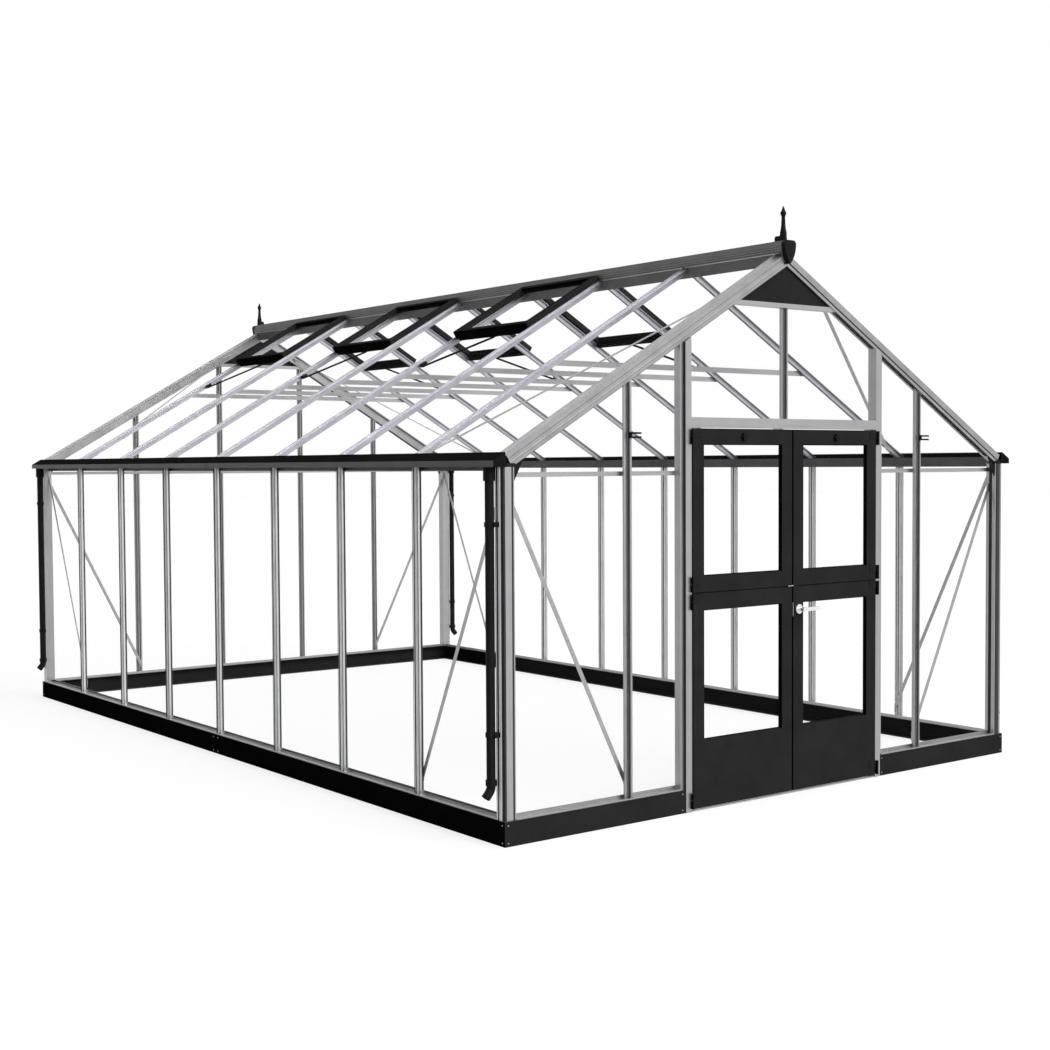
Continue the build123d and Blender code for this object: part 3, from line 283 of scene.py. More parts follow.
upright = aluminium("aluminium_upright", ALUMINIUM, (ACROSS, ACROSS, ALONG))
painted_light_side_upright = aluminium("aluminium_side_upright", PAINTED_LIGHT_SIDE_ALUMINIUM, (ACROSS, ACROSS, ALONG))
painted_light_bar_upright = aluminium("aluminium_bar_upright", PAINTED_LIGHT_BAR_ALUMINIUM, (ACROSS, ACROSS, ALONG))
lengthwise = aluminium("aluminium_lengthwise", ALUMINIUM, (ACROSS, ALONG, ACROSS))
crosswise = aluminium("aluminium_crosswise", ALUMINIUM, (ALONG, ACROSS, ACROSS))
painted_shade_raking = aluminium("aluminium_raking", PAINTED_SHADE_RAFTER_ALUMINIUM, (RAKE, ACROSS, RAKE))
painted_light_sloping = aluminium("aluminium_sloping", PAINTED_LIGHT_ROOF_ALUMINIUM, (RAKE, ACROSS, RAKE))
strut = aluminium("aluminium_strut", ALUMINIUM, (STRUT_SCALE,) * 3)
black_coat = coating("black_powder_coat", BLACK, COAT_ROUGHNESS, COAT_GRAIN, painted_light_and_shade=PAINTED_SIDE_SHADE)
# Painted light: faces along Z, the tops and bottoms of the base, are made 2.6 times lighter; faces along X
# get the painted side shade.
black_steel_painted_top_light_side_shade = coating("black_base_steel", BLACK, COAT_ROUGHNESS, 500, painted_light_and_shade=(("Z", 2.6), *PAINTED_SIDE_SHADE))
black_plastic = coating("black_plastic", (0.014, 0.014, 0.0143), 0.5, 900, specular=0.05)
# Painted light and sheen: faces along X of the gutters are made seven times lighter and metallic, while the
# other faces stay near black.
painted_side_light_gutter_coat = coating(
    "dark_gutter_coat_painted_side_light", (0.012, 0.012, 0.0123), 0.5, COAT_GRAIN,
    painted_light_and_shade=(("X", 7.0),), metallic=COAT_METALLIC, painted_sheen_axis="X",
)
ridge_coat = coating("ridge_coat", (0.14, 0.14, 0.142), COAT_ROUGHNESS, COAT_GRAIN, metallic=COAT_METALLIC)
# Painted highlight: the raised ribs are a lighter copy of the ridge coat.
painted_highlight_rib_coat = coating("ridge_rib_coat", (0.26, 0.26, 0.262), COAT_ROUGHNESS, COAT_GRAIN, metallic=COAT_METALLIC)
anodised = coating("dark_anodised", (0.08, 0.08, 0.082), COAT_ROUGHNESS, COAT_GRAIN, metallic=COAT_METALLIC)
rubber = coating("grey_rubber", (0.05, 0.05, 0.053), 0.75, RUBBER_GRAIN, specular=0.2)
# Grey of the gable caps, which also stand for painted shade beside the gable bar stems.
cap_rubber_painted_shade = coating("grey_cap_rubber", (0.085, 0.084, 0.092), 0.75, RUBBER_GRAIN, specular=0.2)
soft_black = coating("black_rubber", (0.012, 0.012, 0.013), 0.8, RUBBER_GRAIN, specular=0.05)
zinc = aluminium("zinc_plate", (0.36, 0.36, 0.36), (ZINC_SCALE,) * 3, 0.45)
white_metal = aluminium("white_satin_metal", (0.86, 0.86, 0.86), (SATIN_SCALE,) * 3, 0.3)
glass = clear_glass("clear_glass")

LEAVES = [(level, hand) for level in ("lower", "upper") for hand in ("left", "right")]
NODE_MATERIALS = {
    upright: ("corner_posts", "back_gable_bars", "front_gable_bars", "door_posts"),
    painted_light_bar_upright: ("wall_bars",),
    lengthwise: ("side_sills",),
    crosswise: ("gable_sills", "door_header", "threshold", "gable_rails", "gable_transoms", "cross_ties"),
    painted_shade_raking: ("gable_rafters",),
    painted_light_sloping: ("roof_bars",),
    strut: ("wall_braces", "roof_braces"),
    black_coat: (
        "gable_plates", "roof_window_frames", "window_sills", "door_hinges",
        *(f"{level}_{hand}_door_frame" for level, hand in LEAVES),
    ),
    black_steel_painted_top_light_side_shade: ("base_sides", "base_ends", "base_splices"),
    black_plastic: (
        "ridge_end_caps", "finials", "eave_gussets", "downpipes", "window_stays",
        "upper_left_door_knob", "upper_right_door_knob",
    ),
    painted_side_light_gutter_coat: ("gutters",),
    ridge_coat: ("ridge",),
    white_metal: ("door_handle",),
    glass: (
        "roof_window_glass", "wall_glass", "roof_glass", "gable_glass",
        *(f"{level}_{hand}_door_glass" for level, hand in LEAVES),
    ),
}
for material, names in NODE_MATERIALS.items():
    for name in names:
        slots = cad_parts[name].data.materials
        slots.clear()
        slots.append(material)


# Mesh pieces

SMALL_SCREW = 0.0038
SCREW_SHARES = (
    (1.0, 0.0), (1.0, 0.22), (0.92, 0.4), (0.72, 0.55), (0.45, 0.62), (0.4, 0.6), (0.34, 0.3), (0.05, 0.26),
)
WASHER_SHARES = ((1.25, 0.0), (1.25, 0.18), (1.1, 0.24))
HEXAGON_SHARES = ((0.95, 0.2), (1.0, 0.3), (1.0, 0.75), (0.8, 0.9))


def round_box(width, height, radius, steps=3):
    """Outline of a box with rounded corners, centred across and standing on zero."""
    corners = (
        (width / 2 - radius, radius, -pi / 2),
        (width / 2 - radius, height - radius, 0.0),
        (-width / 2 + radius, height - radius, pi / 2),
        (-width / 2 + radius, radius, pi),
    )
    turns = [pi / 2 * i / steps for i in range(steps + 1)]
    return [
        (x + radius * cos(start + turn), y + radius * sin(start + turn))
        for x, y, start in corners
        for turn in turns
    ]


class Shape:
    """Solids gathered in one mesh, which becomes a piece of the look."""

    def __init__(self):
        self.mesh = bmesh.new()

    def skin(self, rings):
        """Closed skin over rings of points that lie one after the other."""
        loops = [[self.mesh.verts.new(point) for point in ring] for ring in rings]
        self.mesh.faces.new(loops[0])
        self.mesh.faces.new(list(reversed(loops[-1])))
        for lower, upper in zip(loops, loops[1:]):
            for i in range(len(lower)):
                j = (i + 1) % len(lower)
                self.mesh.faces.new((lower[i], upper[i], upper[j], lower[j]))

    def run(self, outline, start, end, up):
        """An outline of (across, up) points carried along a straight line."""
        start, end = Vector(start), Vector(end)
        along = (end - start).normalized()
        rise = Vector(up).normalized()
        across = along.cross(rise)
        self.skin([[base + across * a + rise * b for a, b in outline] for base in (start, end)])

    def upright(self, outline, x, y, foot, head, up):
        """An outline carried straight up from foot to head."""
        self.run(outline, (x, y, foot), (x, y, head), up)

    def turned(self, profile, base, axis, sides=16):
        """A turned solid from (radius, height) points along an axis."""
        axis = Vector(axis).normalized()
        across = axis.orthogonal().normalized()
        other = axis.cross(across)
        turns = [2 * pi * i / sides for i in range(sides)]
        self.skin([
            [Vector(base) + axis * height + (across * cos(t) + other * sin(t)) * radius for t in turns]
            for radius, height in profile
        ])

    def screw(self, base, axis):
        """Small pan-head screw with a drive recess."""
        self.turned([(SMALL_SCREW * r, SMALL_SCREW * h) for r, h in SCREW_SHARES], base, axis)

    def bolt(self, base, axis, radius):
        """Hexagon head on a washer."""
        self.turned([(radius * r, radius * h) for r, h in WASHER_SHARES], base, axis)
        self.turned([(radius * r, radius * h) for r, h in HEXAGON_SHARES], base, axis, 6)

    def piece(self, name, material, slot, body="frame", smooth=radians(40)):
        """The finished mesh as an object that rides on a body."""
        bmesh.ops.recalc_face_normals(self.mesh, faces=self.mesh.faces)
        data = bpy.data.meshes.new(name)
        self.mesh.to_mesh(data)
        self.mesh.free()
        data.materials.append(material)
        data.shade_smooth()
        data.set_sharp_from_angle(angle=smooth)
        thing = bpy.data.objects.new(name, data)
        bpy.context.scene.collection.objects.link(thing)
        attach(thing, body)
        return thing


# Steel base

SCREW_LEVELS = (0.017, 0.097)
CORNER_SCREW = 0.019
DOOR_SCREW = 0.02
SPLICE_SCREW = 0.03


def make_base_screws():
    """Screws of the steel base: two at each corner on each face, beside the doorway and at the splices."""
    screws = Shape()
    for level in SCREW_LEVELS:
        for side in SIDES:
            for end in SIDES:
                screws.screw((side * base_high.x, end * (base_high.y - CORNER_SCREW), level), (side, 0, 0))
                screws.screw((side * (base_high.x - CORNER_SCREW), end * base_high.y, level), (0, end, 0))
                screws.screw((side * base_high.x, end * SPLICE_SCREW, level), (side, 0, 0))
            screws.screw((side * SPLICE_SCREW, base_high.y, level), (0, 1, 0))
            screws.screw((side * (JAMB_OUTER + DOOR_SCREW), base_low.y, level), (0, -1, 0))
    screws.piece("base_screws", zinc, "satin_metal")


# Wall glazing

STRIP_WIDTH = 0.004
STRIP_THICK = 0.0015
STRIP_EDGE = 0.0006
CHANNEL_SHADE_STRIP = 0.01
STEM_CAP_WIDTH = 0.006
STEM_CAP_HEIGHT = 0.0045
STEM_CAP_EDGE = 0.001
STEM_LAP = 0.0035
SILL_STRIP = 0.01
SILL_SETBACK = 0.039


def make_wall_seals():
    """Seals along the edges and stem of every wall bar, the edge seals also standing for painted shade lines,
    and dark strips on the channel sides that are painted shade.
    """
    strip = round_box(STRIP_WIDTH, STRIP_THICK, STRIP_EDGE)
    stem = round_box(STEM_CAP_WIDTH, STEM_CAP_HEIGHT, STEM_CAP_EDGE)
    channel = round_box(CHANNEL_SHADE_STRIP, STRIP_THICK, STRIP_EDGE)
    seals = Shape()
    for side in SIDES:
        glass_x = side * (wall_x - GLASS_FRONT)
        channel_x = side * (wall_x - SILL_SETBACK + CHANNEL_SHADE_STRIP / 2)
        for line in BAR_LINES:
            seals.upright(stem, side * (wall_x - STEM_LAP), line, sill_top, eave, (side, 0, 0))
            for way in SIDES:
                # Edge seals, dark also as painted shade lines along the bar edges; the channel strips are
                # painted shade.
                edge_y = line + way * (FLANGE_HALF - STRIP_WIDTH / 2)
                seals.upright(strip, glass_x, edge_y, sill_top, eave, (side, 0, 0))
                seals.upright(channel, channel_x, line + way * CHANNEL_HALF, sill_high.z, eave, (0, way, 0))
    seals.piece("wall_seals_and_painted_shade_strips", rubber, "black_plastic")


def make_sill_strips():
    """Bedding strips on the side sills between the wall bars."""
    strip = round_box(SILL_STRIP, STRIP_THICK, STRIP_EDGE)
    z = sill_high.z - SILL_STRIP / 2
    strips = Shape()
    for side in SIDES:
        x = side * (wall_x - SILL_SETBACK)
        for line in [*BAR_LINES, BAR_LINES[-1] + BAY]:
            strips.run(strip, (x, line - BAY + FLANGE_HALF, z), (x, line - FLANGE_HALF, z), (side, 0, 0))
    strips.piece("sill_bedding_strips", anodised, "black_plastic")


# Gable glazing

CAP_WIDTH = 0.009
CAP_PROUD = 0.0012
CAP_EDGE = 0.003


def make_gable_caps():
    """Glazing caps pressed over the stems of the gable bars, grey so that they also stand for painted shade
    beside the stems.
    """
    cap = round_box(CAP_WIDTH, GLASS_FRONT + CAP_PROUD, CAP_EDGE)
    front_bars = [(-gable_bar_x, sill_top), (0.0, header_high.z), (gable_bar_x, sill_top)]
    back_bars = [(x, sill_top) for x in (-gable_bar_x, -BACK_BAR_X, BACK_BAR_X, gable_bar_x)]
    caps = Shape()
    for end, gable_bars in ((-1, front_bars), (1, back_bars)):
        y = end * (back_high.y - GLASS_FRONT)
        for x, foot in gable_bars:
            head = min(under_rafter(abs(x) + CAP_WIDTH), transom_low.z)
            caps.upright(cap, x, y, foot, head, (0, end, 0))
    caps.piece("gable_caps_and_painted_shade", cap_rubber_painted_shade, "black_plastic")


# Inserts in the grooves of the posts and rafters

INSERT_HEIGHT = 0.003
INSERT_PLAY = 0.0004
INSERT_EDGE = 0.0008
NOTCH_PLAY = 0.002
NOTCH_EDGE = 0.0015
JAMB_SEAL_THICK = 0.0012
JAMB_SEAL_PLAY = 0.001
JAMB_SEAL_EDGE = 0.0004
RAFTER_START = 0.05
SEAM_DROP = 0.016
SEAM_WIDTH = 0.0016
SEAM_THICK = 0.0006
SEAM_EDGE = 0.0002


def make_groove_inserts():
    """Dark seals on the jambs and in the grooves and notches, which are painted shade on the jamb sides and
    in these recesses; two rafter grooves have metal covers and a seam.
    """
    insert = round_box(GROOVE_WIDTH - INSERT_PLAY, INSERT_HEIGHT, INSERT_EDGE)
    notch = round_box(NOTCH_WIDTH - NOTCH_PLAY, NOTCH_DEPTH - NOTCH_PLAY, NOTCH_EDGE)
    jamb = round_box(JAMB_STEP - JAMB_SEAL_PLAY, JAMB_SEAL_THICK, JAMB_SEAL_EDGE)
    rafter = round_box(RAFTER_GROOVE_WIDTH - INSERT_PLAY, INSERT_HEIGHT, INSERT_EDGE)
    cover = round_box(RAFTER_GROOVE_WIDTH - INSERT_PLAY, GROOVE_DEPTH, INSERT_EDGE)
    seam = round_box(SEAM_WIDTH, SEAM_THICK, SEAM_EDGE)
    slope = (RAFTER_START, slope_heel)
    seals, covers = Shape(), Shape()
    for side in SIDES:
        jamb_y = door_post_low.y + JAMB_STEP / 2
        # Painted shade: a dark sheet on the side face of each jamb.
        seals.upright(jamb, side * JAMB_OUTER, jamb_y, base_high.z, under_rafter(JAMB_OUTER), (side, 0, 0))
        for end in SIDES:
            floor_x, floor_y = side * (post_high.x - GROOVE_DEPTH), end * (post_high.y - GROOVE_DEPTH)
            groove_x, groove_y = side * (post_high.x - POST_GROOVE), end * (post_high.y - POST_GROOVE)
            notch_x = side * (post_high.x - NOTCH_DEPTH)
            notch_y = end * (post_high.y - NOTCH_WIDTH / 2 - NOTCH_PLAY / 2)
            # Painted shade: dark inserts at the bottom of the post grooves, and dark blocks filling the
            # corner notches.
            seals.upright(insert, groove_x, floor_y, post_low.z, eave, (0, end, 0))
            seals.upright(insert, floor_x, groove_y, post_low.z, eave, (side, 0, 0))
            seals.upright(notch, notch_x, notch_y, post_low.z, eave, (side, 0, 0))
            groove_ends = [roof_point(side, s, -RAFTER_GROOVE_DROP, floor_y) for s in slope]
            if side == end:
                seam_ends = [roof_point(side, s, -SEAM_DROP, end * post_high.y) for s in slope]
                covers.run(cover, *groove_ends, (0, end, 0))
                seals.run(seam, *seam_ends, (0, end, 0))
            else:
                # Painted shade: a dark insert in the groove of the other two rafters.
                seals.run(rafter, *groove_ends, (0, end, 0))
    seals.piece("groove_painted_shade_seals", rubber, "black_plastic")
    covers.piece("groove_covers", painted_shade_raking, "aluminium")


# Seals under the gable rafters

UNDER_SEAL_WIDTH = 0.0105
UNDER_SEAL_THICK = 0.0025
UNDER_SEAL_EDGE = 0.0008
UNDER_SEAL_GAP = 0.0007
UNDER_SEAL_PLAY = 0.003


def make_under_seals():
    """Seals under the gable rafters on both faces of the panes, between the bars that stand up to them."""
    seal = round_box(UNDER_SEAL_WIDTH, UNDER_SEAL_THICK, UNDER_SEAL_EDGE)
    pane_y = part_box("gable_glass")[1].y
    reach = UNDER_SEAL_GAP + UNDER_SEAL_WIDTH / 2
    gusset_x = heel_x - (gusset_high.z - eave) / tan(PITCH)
    bar_inner, bar_outer = gable_bar_x - FLANGE_HALF, gable_bar_x + FLANGE_HALF
    heel_span = (bar_outer, gusset_x)
    front_spans = ((transom_high.x, header_high.x), (door_post_high.x, bar_inner), heel_span)
    back_spans = ((BACK_BAR_X + FLANGE_HALF, bar_inner), heel_span)
    seals = Shape()
    for side in SIDES:
        below = (-side * sin(PITCH), 0, -cos(PITCH))
        for end, spans in ((-1, front_spans), (1, back_spans)):
            for y in (end * (pane_y + reach), end * (pane_y - PANE_THICK - reach)):
                for inner, outer in spans:
                    stops = (inner + UNDER_SEAL_PLAY, outer - UNDER_SEAL_PLAY)
                    seals.run(seal, *((side * x, y, under_rafter(x)) for x in stops), below)
    seals.piece("rafter_under_seals", rubber, "black_plastic")


# Corner posts

BAND_SPAN = (0.018, 0.05)
INNER_SPAN = (0.022, 0.042)
BAND_THICK = 0.001
BAND_EDGE = 0.0003
HEEL_HEIGHT = 0.017
HEEL_START = 0.02
HEEL_INSET = 0.001
RIB_RADIUS = 0.0045
RIB_STEPS = 8
POST_RIBS = (0.0265, 0.0365, 0.058)


def make_post_trim():
    """Dark bands on two of the posts as painted shade, rounded ribs on the posts, and black plates over the
    rafter heels.
    """
    band = round_box(BAND_SPAN[1] - BAND_SPAN[0], BAND_THICK, BAND_EDGE)
    inner_band = round_box(INNER_SPAN[1] - INNER_SPAN[0], BAND_THICK, BAND_EDGE)
    heel = round_box(HEEL_HEIGHT, BAND_THICK, BAND_EDGE)
    turns = [pi * i / RIB_STEPS for i in range(RIB_STEPS + 1)]
    rib = [(RIB_RADIUS * cos(turn), RIB_RADIUS * sin(turn)) for turn in turns]
    bands, ribs, heels = Shape(), Shape(), Shape()
    for side in SIDES:
        for end in SIDES:
            y = end * post_high.y
            # Painted shade: dark bands on the outer face and the inner face of two of the posts.
            if side != end:
                band_x = side * (post_high.x - sum(BAND_SPAN) / 2)
                inner_y = end * (post_high.y - sum(INNER_SPAN) / 2)
                bands.upright(band, band_x, y, post_low.z, eave, (0, end, 0))
                bands.upright(
                    inner_band, side * (post_high.x - POST_SIZE), inner_y, post_low.z, eave, (-side, 0, 0)
                )
            for inset in POST_RIBS:
                rib_y = end * (post_high.y - inset)
                ribs.upright(rib, side * post_high.x, rib_y, post_low.z, eave, (side, 0, 0))
            z = eave + HEEL_HEIGHT / 2
            heel_ends = [(side * x, y, z) for x in (heel_x - HEEL_START, post_high.x - HEEL_INSET)]
            heels.run(heel, *heel_ends, (0, end, 0))
    bands.piece("post_painted_shade_bands", rubber, "black_plastic")
    # The ribs on the side faces take the lighter side copy of the aluminium: painted light.
    ribs.piece("post_ribs", painted_light_side_upright, "aluminium")
    heels.piece("rafter_heel_plates", black_coat, "black_coat")


# Doors

CATCH_LEVEL = 1.87
CATCH_REACH = 0.07
CATCH_START = 0.006
CATCH_PLATE_WIDTH = 0.022
CATCH_PLATE_THICK = 0.003
CATCH_PLATE_EDGE = 0.001
CATCH_PLATE_HALF = 0.014
FINGER_GAP = 0.01
FINGER_WIDTH = 0.009
FINGER_HEIGHT = 0.014
FINGER_EDGE = 0.002
BEAD = 0.005
BEAD_EDGE = 0.002
HINGE_SCREWS = (0.022, 0.05)
HINGE_SCREW_SHARE = 0.75
KNOB_BOLT = 0.005
SPLIT_SEAL_WIDTH = 0.012
SPLIT_SEAL_EDGE = 0.001
SPLIT_SEAL_SETBACK = 0.012
SPLIT_SEAL_INSET = 0.02
SPLIT_SEAL_PLAY = 0.0006
LOCK_WIDTH = 0.022
LOCK_HEIGHT = 0.07
LOCK_THICK = 0.0015
LOCK_EDGE = 0.0003


def make_catches():
    """Catches on the front gable bars that hold the open upper leaves: two fingers on a plate."""
    plate = round_box(CATCH_PLATE_WIDTH, CATCH_PLATE_THICK, CATCH_PLATE_EDGE)
    finger = round_box(FINGER_WIDTH, FINGER_HEIGHT, FINGER_EDGE)
    y = gable_y - CAP_PROUD
    low, high = CATCH_LEVEL - CATCH_PLATE_HALF, CATCH_LEVEL + CATCH_PLATE_HALF
    catches = Shape()
    for side in SIDES:
        x = side * gable_bar_x - CATCH_START
        catches.upright(plate, x + CATCH_PLATE_WIDTH / 2, y, low, high, (0, -1, 0))
        for way in SIDES:
            z = CATCH_LEVEL + way * FINGER_GAP
            catches.run(finger, (x, y, z), (x + CATCH_REACH, y, z), (0, -1, 0))
    catches.piece("door_catches", soft_black, "black_plastic")


def make_beads(body):
    """Glazing beads around the pane of a door leaf."""
    pane_low, pane_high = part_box(f"{body}_glass")
    bead = round_box(BEAD, BEAD, BEAD_EDGE)
    y = pane_low.y
    left, right = pane_low.x + PANE_LAP, pane_high.x - PANE_LAP
    foot, head = pane_low.z + PANE_LAP, pane_high.z - PANE_LAP
    beads = Shape()
    for x in (left + BEAD / 2, right - BEAD / 2):
        beads.upright(bead, x, y, foot, head, (0, -1, 0))
    for z in (foot + BEAD / 2, head - BEAD / 2):
        beads.run(bead, (left + BEAD, y, z), (right - BEAD, y, z), (0, -1, 0))
    beads.piece(f"{body}_beads", soft_black, "black_plastic", body)


def make_leaf_screws(body, front, side, knob):
    """Screws of the hinge plates of a door leaf, and the bolt of its knob."""
    leaf_low, leaf_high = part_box(f"{body}_frame")
    hinge_edge = leaf_low.x if side < 0 else leaf_high.x
    screws = Shape()
    for base in (leaf_low.z + HINGE_INSET, leaf_high.z - HINGE_INSET - HINGE_HEIGHT):
        z = base + HINGE_HEIGHT * HINGE_SCREW_SHARE
        for reach in HINGE_SCREWS:
            screws.screw((hinge_edge - side * reach, front - HINGE_PLATE_THICK, z), (0, -1, 0))
    if knob:
        knob_low, knob_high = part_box(f"{body}_knob")
        middle = (knob_low + knob_high) / 2
        screws.bolt((middle.x, knob_low.y, middle.z), (0, -1, 0), KNOB_BOLT)
    screws.piece(f"{body}_screws", black_plastic, "black_plastic", body)


def make_split_seal(body, front):
    """Seal on top of a lower leaf, in the gap below the upper one."""
    leaf_low, leaf_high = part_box(f"{body}_frame")
    outline = round_box(SPLIT_SEAL_WIDTH, SPLIT_GAP - SPLIT_SEAL_PLAY, SPLIT_SEAL_EDGE)
    y, z = front + SPLIT_SEAL_SETBACK, leaf_high.z
    seal = Shape()
    left, right = leaf_low.x + SPLIT_SEAL_INSET, leaf_high.x - SPLIT_SEAL_INSET
    seal.run(outline, (left, y, z), (right, y, z), (0, 0, 1))
    seal.piece(f"{body}_seal", soft_black, "black_plastic", body)


def make_leaf_details():
    """Beads, screws and seals of the four door leaves."""
    for level, hand in LEAVES:
        body = f"{level}_{hand}_door"
        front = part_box(f"{body}_glass")[0].y - LEAF_REVEAL
        make_beads(body)
        make_leaf_screws(body, front, -1 if hand == "left" else 1, level == "upper")
        if level == "lower":
            make_split_seal(body, front)


def make_lock_plate():
    """Lock plate on the closing edge of the leaf with the lever."""
    lever_low, lever_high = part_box("door_handle")
    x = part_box("lower_right_door_frame")[0].x
    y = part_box("lower_right_door_glass")[0].y - LEAF_REVEAL / 2
    z = (lever_low.z + lever_high.z) / 2
    plate = Shape()
    outline = round_box(LOCK_WIDTH, LOCK_THICK, LOCK_EDGE)
    plate.upright(outline, x, y, z - LOCK_HEIGHT / 2, z + LOCK_HEIGHT / 2, (-1, 0, 0))
    plate.piece("lock_plate", white_metal, "satin_metal", "lower_right_door")


# Ridge

RIDGE_RIB = 0.003
RIDGE_RIB_EDGE = 0.0008
RIDGE_RIB_DROPS = (0.04, 0.052)
RIDGE_RIB_X = 0.0365
RIDGE_STRIP = 0.006
RIDGE_STRIP_EDGE = 0.0015
RIDGE_STRIP_START = 0.0295
RIDGE_STRIP_RISE = 0.012
RIDGE_STRIP_PLAY = 0.01
WINDOW_BAYS = (2, 4, 6)
CAP_SCREW_DROPS = (0.03, 0.075)


def make_ridge_trim():
    """Raised ribs on both sides, glazing strips below them between the windows, and end cap screws."""
    rib = round_box(RIDGE_RIB, RIDGE_RIB, RIDGE_RIB_EDGE)
    strip = round_box(RIDGE_STRIP, RIDGE_STRIP, RIDGE_STRIP_EDGE)
    ribs, strips, screws = Shape(), Shape(), Shape()
    for side in SIDES:
        x = side * RIDGE_RIB_X
        for drop in RIDGE_RIB_DROPS:
            z = ridge_high.z - drop
            ribs.run(rib, (x, ridge_low.y, z), (x, ridge_high.y, z), (side, 0, 0))
        for bay in range(BAYS):
            if bay not in WINDOW_BAYS:
                start = BAY * (bay - BAYS // 2)
                span = (start + RIDGE_STRIP_PLAY, start + BAY - RIDGE_STRIP_PLAY)
                ends = [roof_point(side, RIDGE_STRIP_START, RIDGE_STRIP_RISE, y) for y in span]
                strips.run(strip, *ends, (side * sin(PITCH), 0, cos(PITCH)))
        for drop in CAP_SCREW_DROPS:
            screws.screw((0, side * (ridge_high.y + RIDGE_CAP_THICK), ridge_high.z - drop), (0, side, 0))
    ribs.piece("ridge_ribs", painted_highlight_rib_coat, "black_coat")
    strips.piece("ridge_glazing_strips", lengthwise, "aluminium")
    screws.piece("ridge_cap_screws", black_plastic, "black_plastic")


# Gutters, downpipes and gussets

JOINT_LENGTH = 0.06
JOINT_THICK = 0.0012
JOINT_PLAY = 0.001
JOINT_EDGE = 0.0004
GUTTER_FACE = 0.0285
CLAMP_LEVELS = (0.507, 1.462)
CLAMP_PROUD = 0.028
CLAMP_SETBACK = 0.026
# Each screw of an eave gusset: how far in from the post, and how far above the eave
GUSSET_SCREWS = ((0.008, -0.035), (0.008, -0.01), (0.03, 0.012))


def make_gutter_joints():
    """Sleeves over the joint halfway along each gutter."""
    outline = round_box(GUTTER_FACE - JOINT_PLAY, JOINT_THICK, JOINT_EDGE)
    z = eave + GUTTER_FACE / 2
    joints = Shape()
    for side in SIDES:
        x = side * gutter_high.x
        joints.run(outline, (x, -JOINT_LENGTH / 2, z), (x, JOINT_LENGTH / 2, z), (side, 0, 0))
    joints.piece("gutter_joints", painted_side_light_gutter_coat, "black_coat")


def make_clamp_screws():
    """Screws of the pipe clamps and eave gussets."""
    screws = Shape()
    for side in SIDES:
        for end in SIDES:
            clamp_y = end * (post_high.y - POST_SIZE + CLAMP_SETBACK)
            for z in CLAMP_LEVELS:
                screws.screw((side * (post_high.x + CLAMP_PROUD), clamp_y, z), (side, 0, 0))
            for inset, rise in GUSSET_SCREWS:
                x = side * (post_high.x - POST_SIZE - inset)
                screws.screw((x, end * gusset_high.y, eave + rise), (0, end, 0))
    screws.piece("clamp_screws", black_plastic, "black_plastic")


# Bolts on the inside

BOLT = 0.006
BOLT_INSET = 0.003
BRACE_END = 0.03 + POST_SIZE
BRACE_FOOT = 0.185
WALL_BRACE_HEAD = 1.575
GABLE_BRACE_HEAD = 1.53
TIE_INSET = 0.05
TIE_PROUD = 0.004
TIE_RISE = 0.015
RAIL_RISE = 0.011


def make_frame_bolts():
    """Bolts of the braces, ties and gable rails, in the bolt channels on the inside."""
    brace_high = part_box("wall_braces")[1]
    tie_low, tie_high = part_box("cross_ties")
    rail_low, rail_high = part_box("gable_rails")
    bolts = Shape()
    for side in SIDES:
        bar_x = side * gable_bar_x
        for end in SIDES:
            inner_x, inner_y = side * (brace_high.x - BOLT_INSET), end * (brace_high.y - BOLT_INSET)
            post_x, post_y = side * (post_high.x - BRACE_END), end * (post_high.y - BRACE_END)
            for y, z in ((end * BAR_LINES[-1], BRACE_FOOT), (post_y, WALL_BRACE_HEAD)):
                bolts.bolt((inner_x, y, z), (-side, 0, 0), BOLT)
            for x, z in ((bar_x, BRACE_FOOT), (post_x, GABLE_BRACE_HEAD)):
                bolts.bolt((x, inner_y, z), (0, -end, 0), BOLT)
        for line in BAR_LINES:
            tie_y = line + CHANNEL_HALF + TIE_PROUD
            bolts.bolt((side * (tie_high.x - TIE_INSET), tie_y, tie_low.z + TIE_RISE), (0, 1, 0), BOLT)
        bolts.bolt((bar_x, rail_low.y + BOLT_INSET, rail_low.z + RAIL_RISE), (0, 1, 0), BOLT)
        bolts.bolt((bar_x, rail_high.y - BOLT_INSET, rail_low.z + RAIL_RISE), (0, -1, 0), BOLT)
    bolts.piece("frame_bolts", zinc, "satin_metal")


make_base_screws()
make_wall_seals()
make_sill_strips()
make_gable_caps()
make_groove_inserts()
make_under_seals()
make_post_trim()
make_catches()
make_leaf_details()
make_lock_plate()
make_ridge_trim()
make_gutter_joints()
make_clamp_screws()
make_frame_bolts()

# Stage: a pale floor that keeps the shadow, a white surround and soft light

WHITE = (1.0, 1.0, 1.0, 1.0)
FLOOR_TONE = (0.3, 0.3, 0.3, 1.0)
FLOOR_ROUGHNESS = 0.9
FLOOR_LIFT = 0.76
FLOOR_HALF = 60.0
FLOOR_DROP = 0.0005
FLOOR_CORNERS = ((-1, -1), (1, -1), (1, 1), (-1, 1))
WORLD_LOW = 0.03
WORLD_HIGH = 0.6
WORLD_FROM = Vector((0.6, -0.7, 0.4))
WORLD_RANGE = (0.0, 0.9)
# Each lamp: its name, strength, direction and spread in degrees
LAMPS = (("key", 2.0, (-0.2, 0.85, -0.5), 40), ("top", 1.0, (-0.1, 0.1, -1.0), 60))


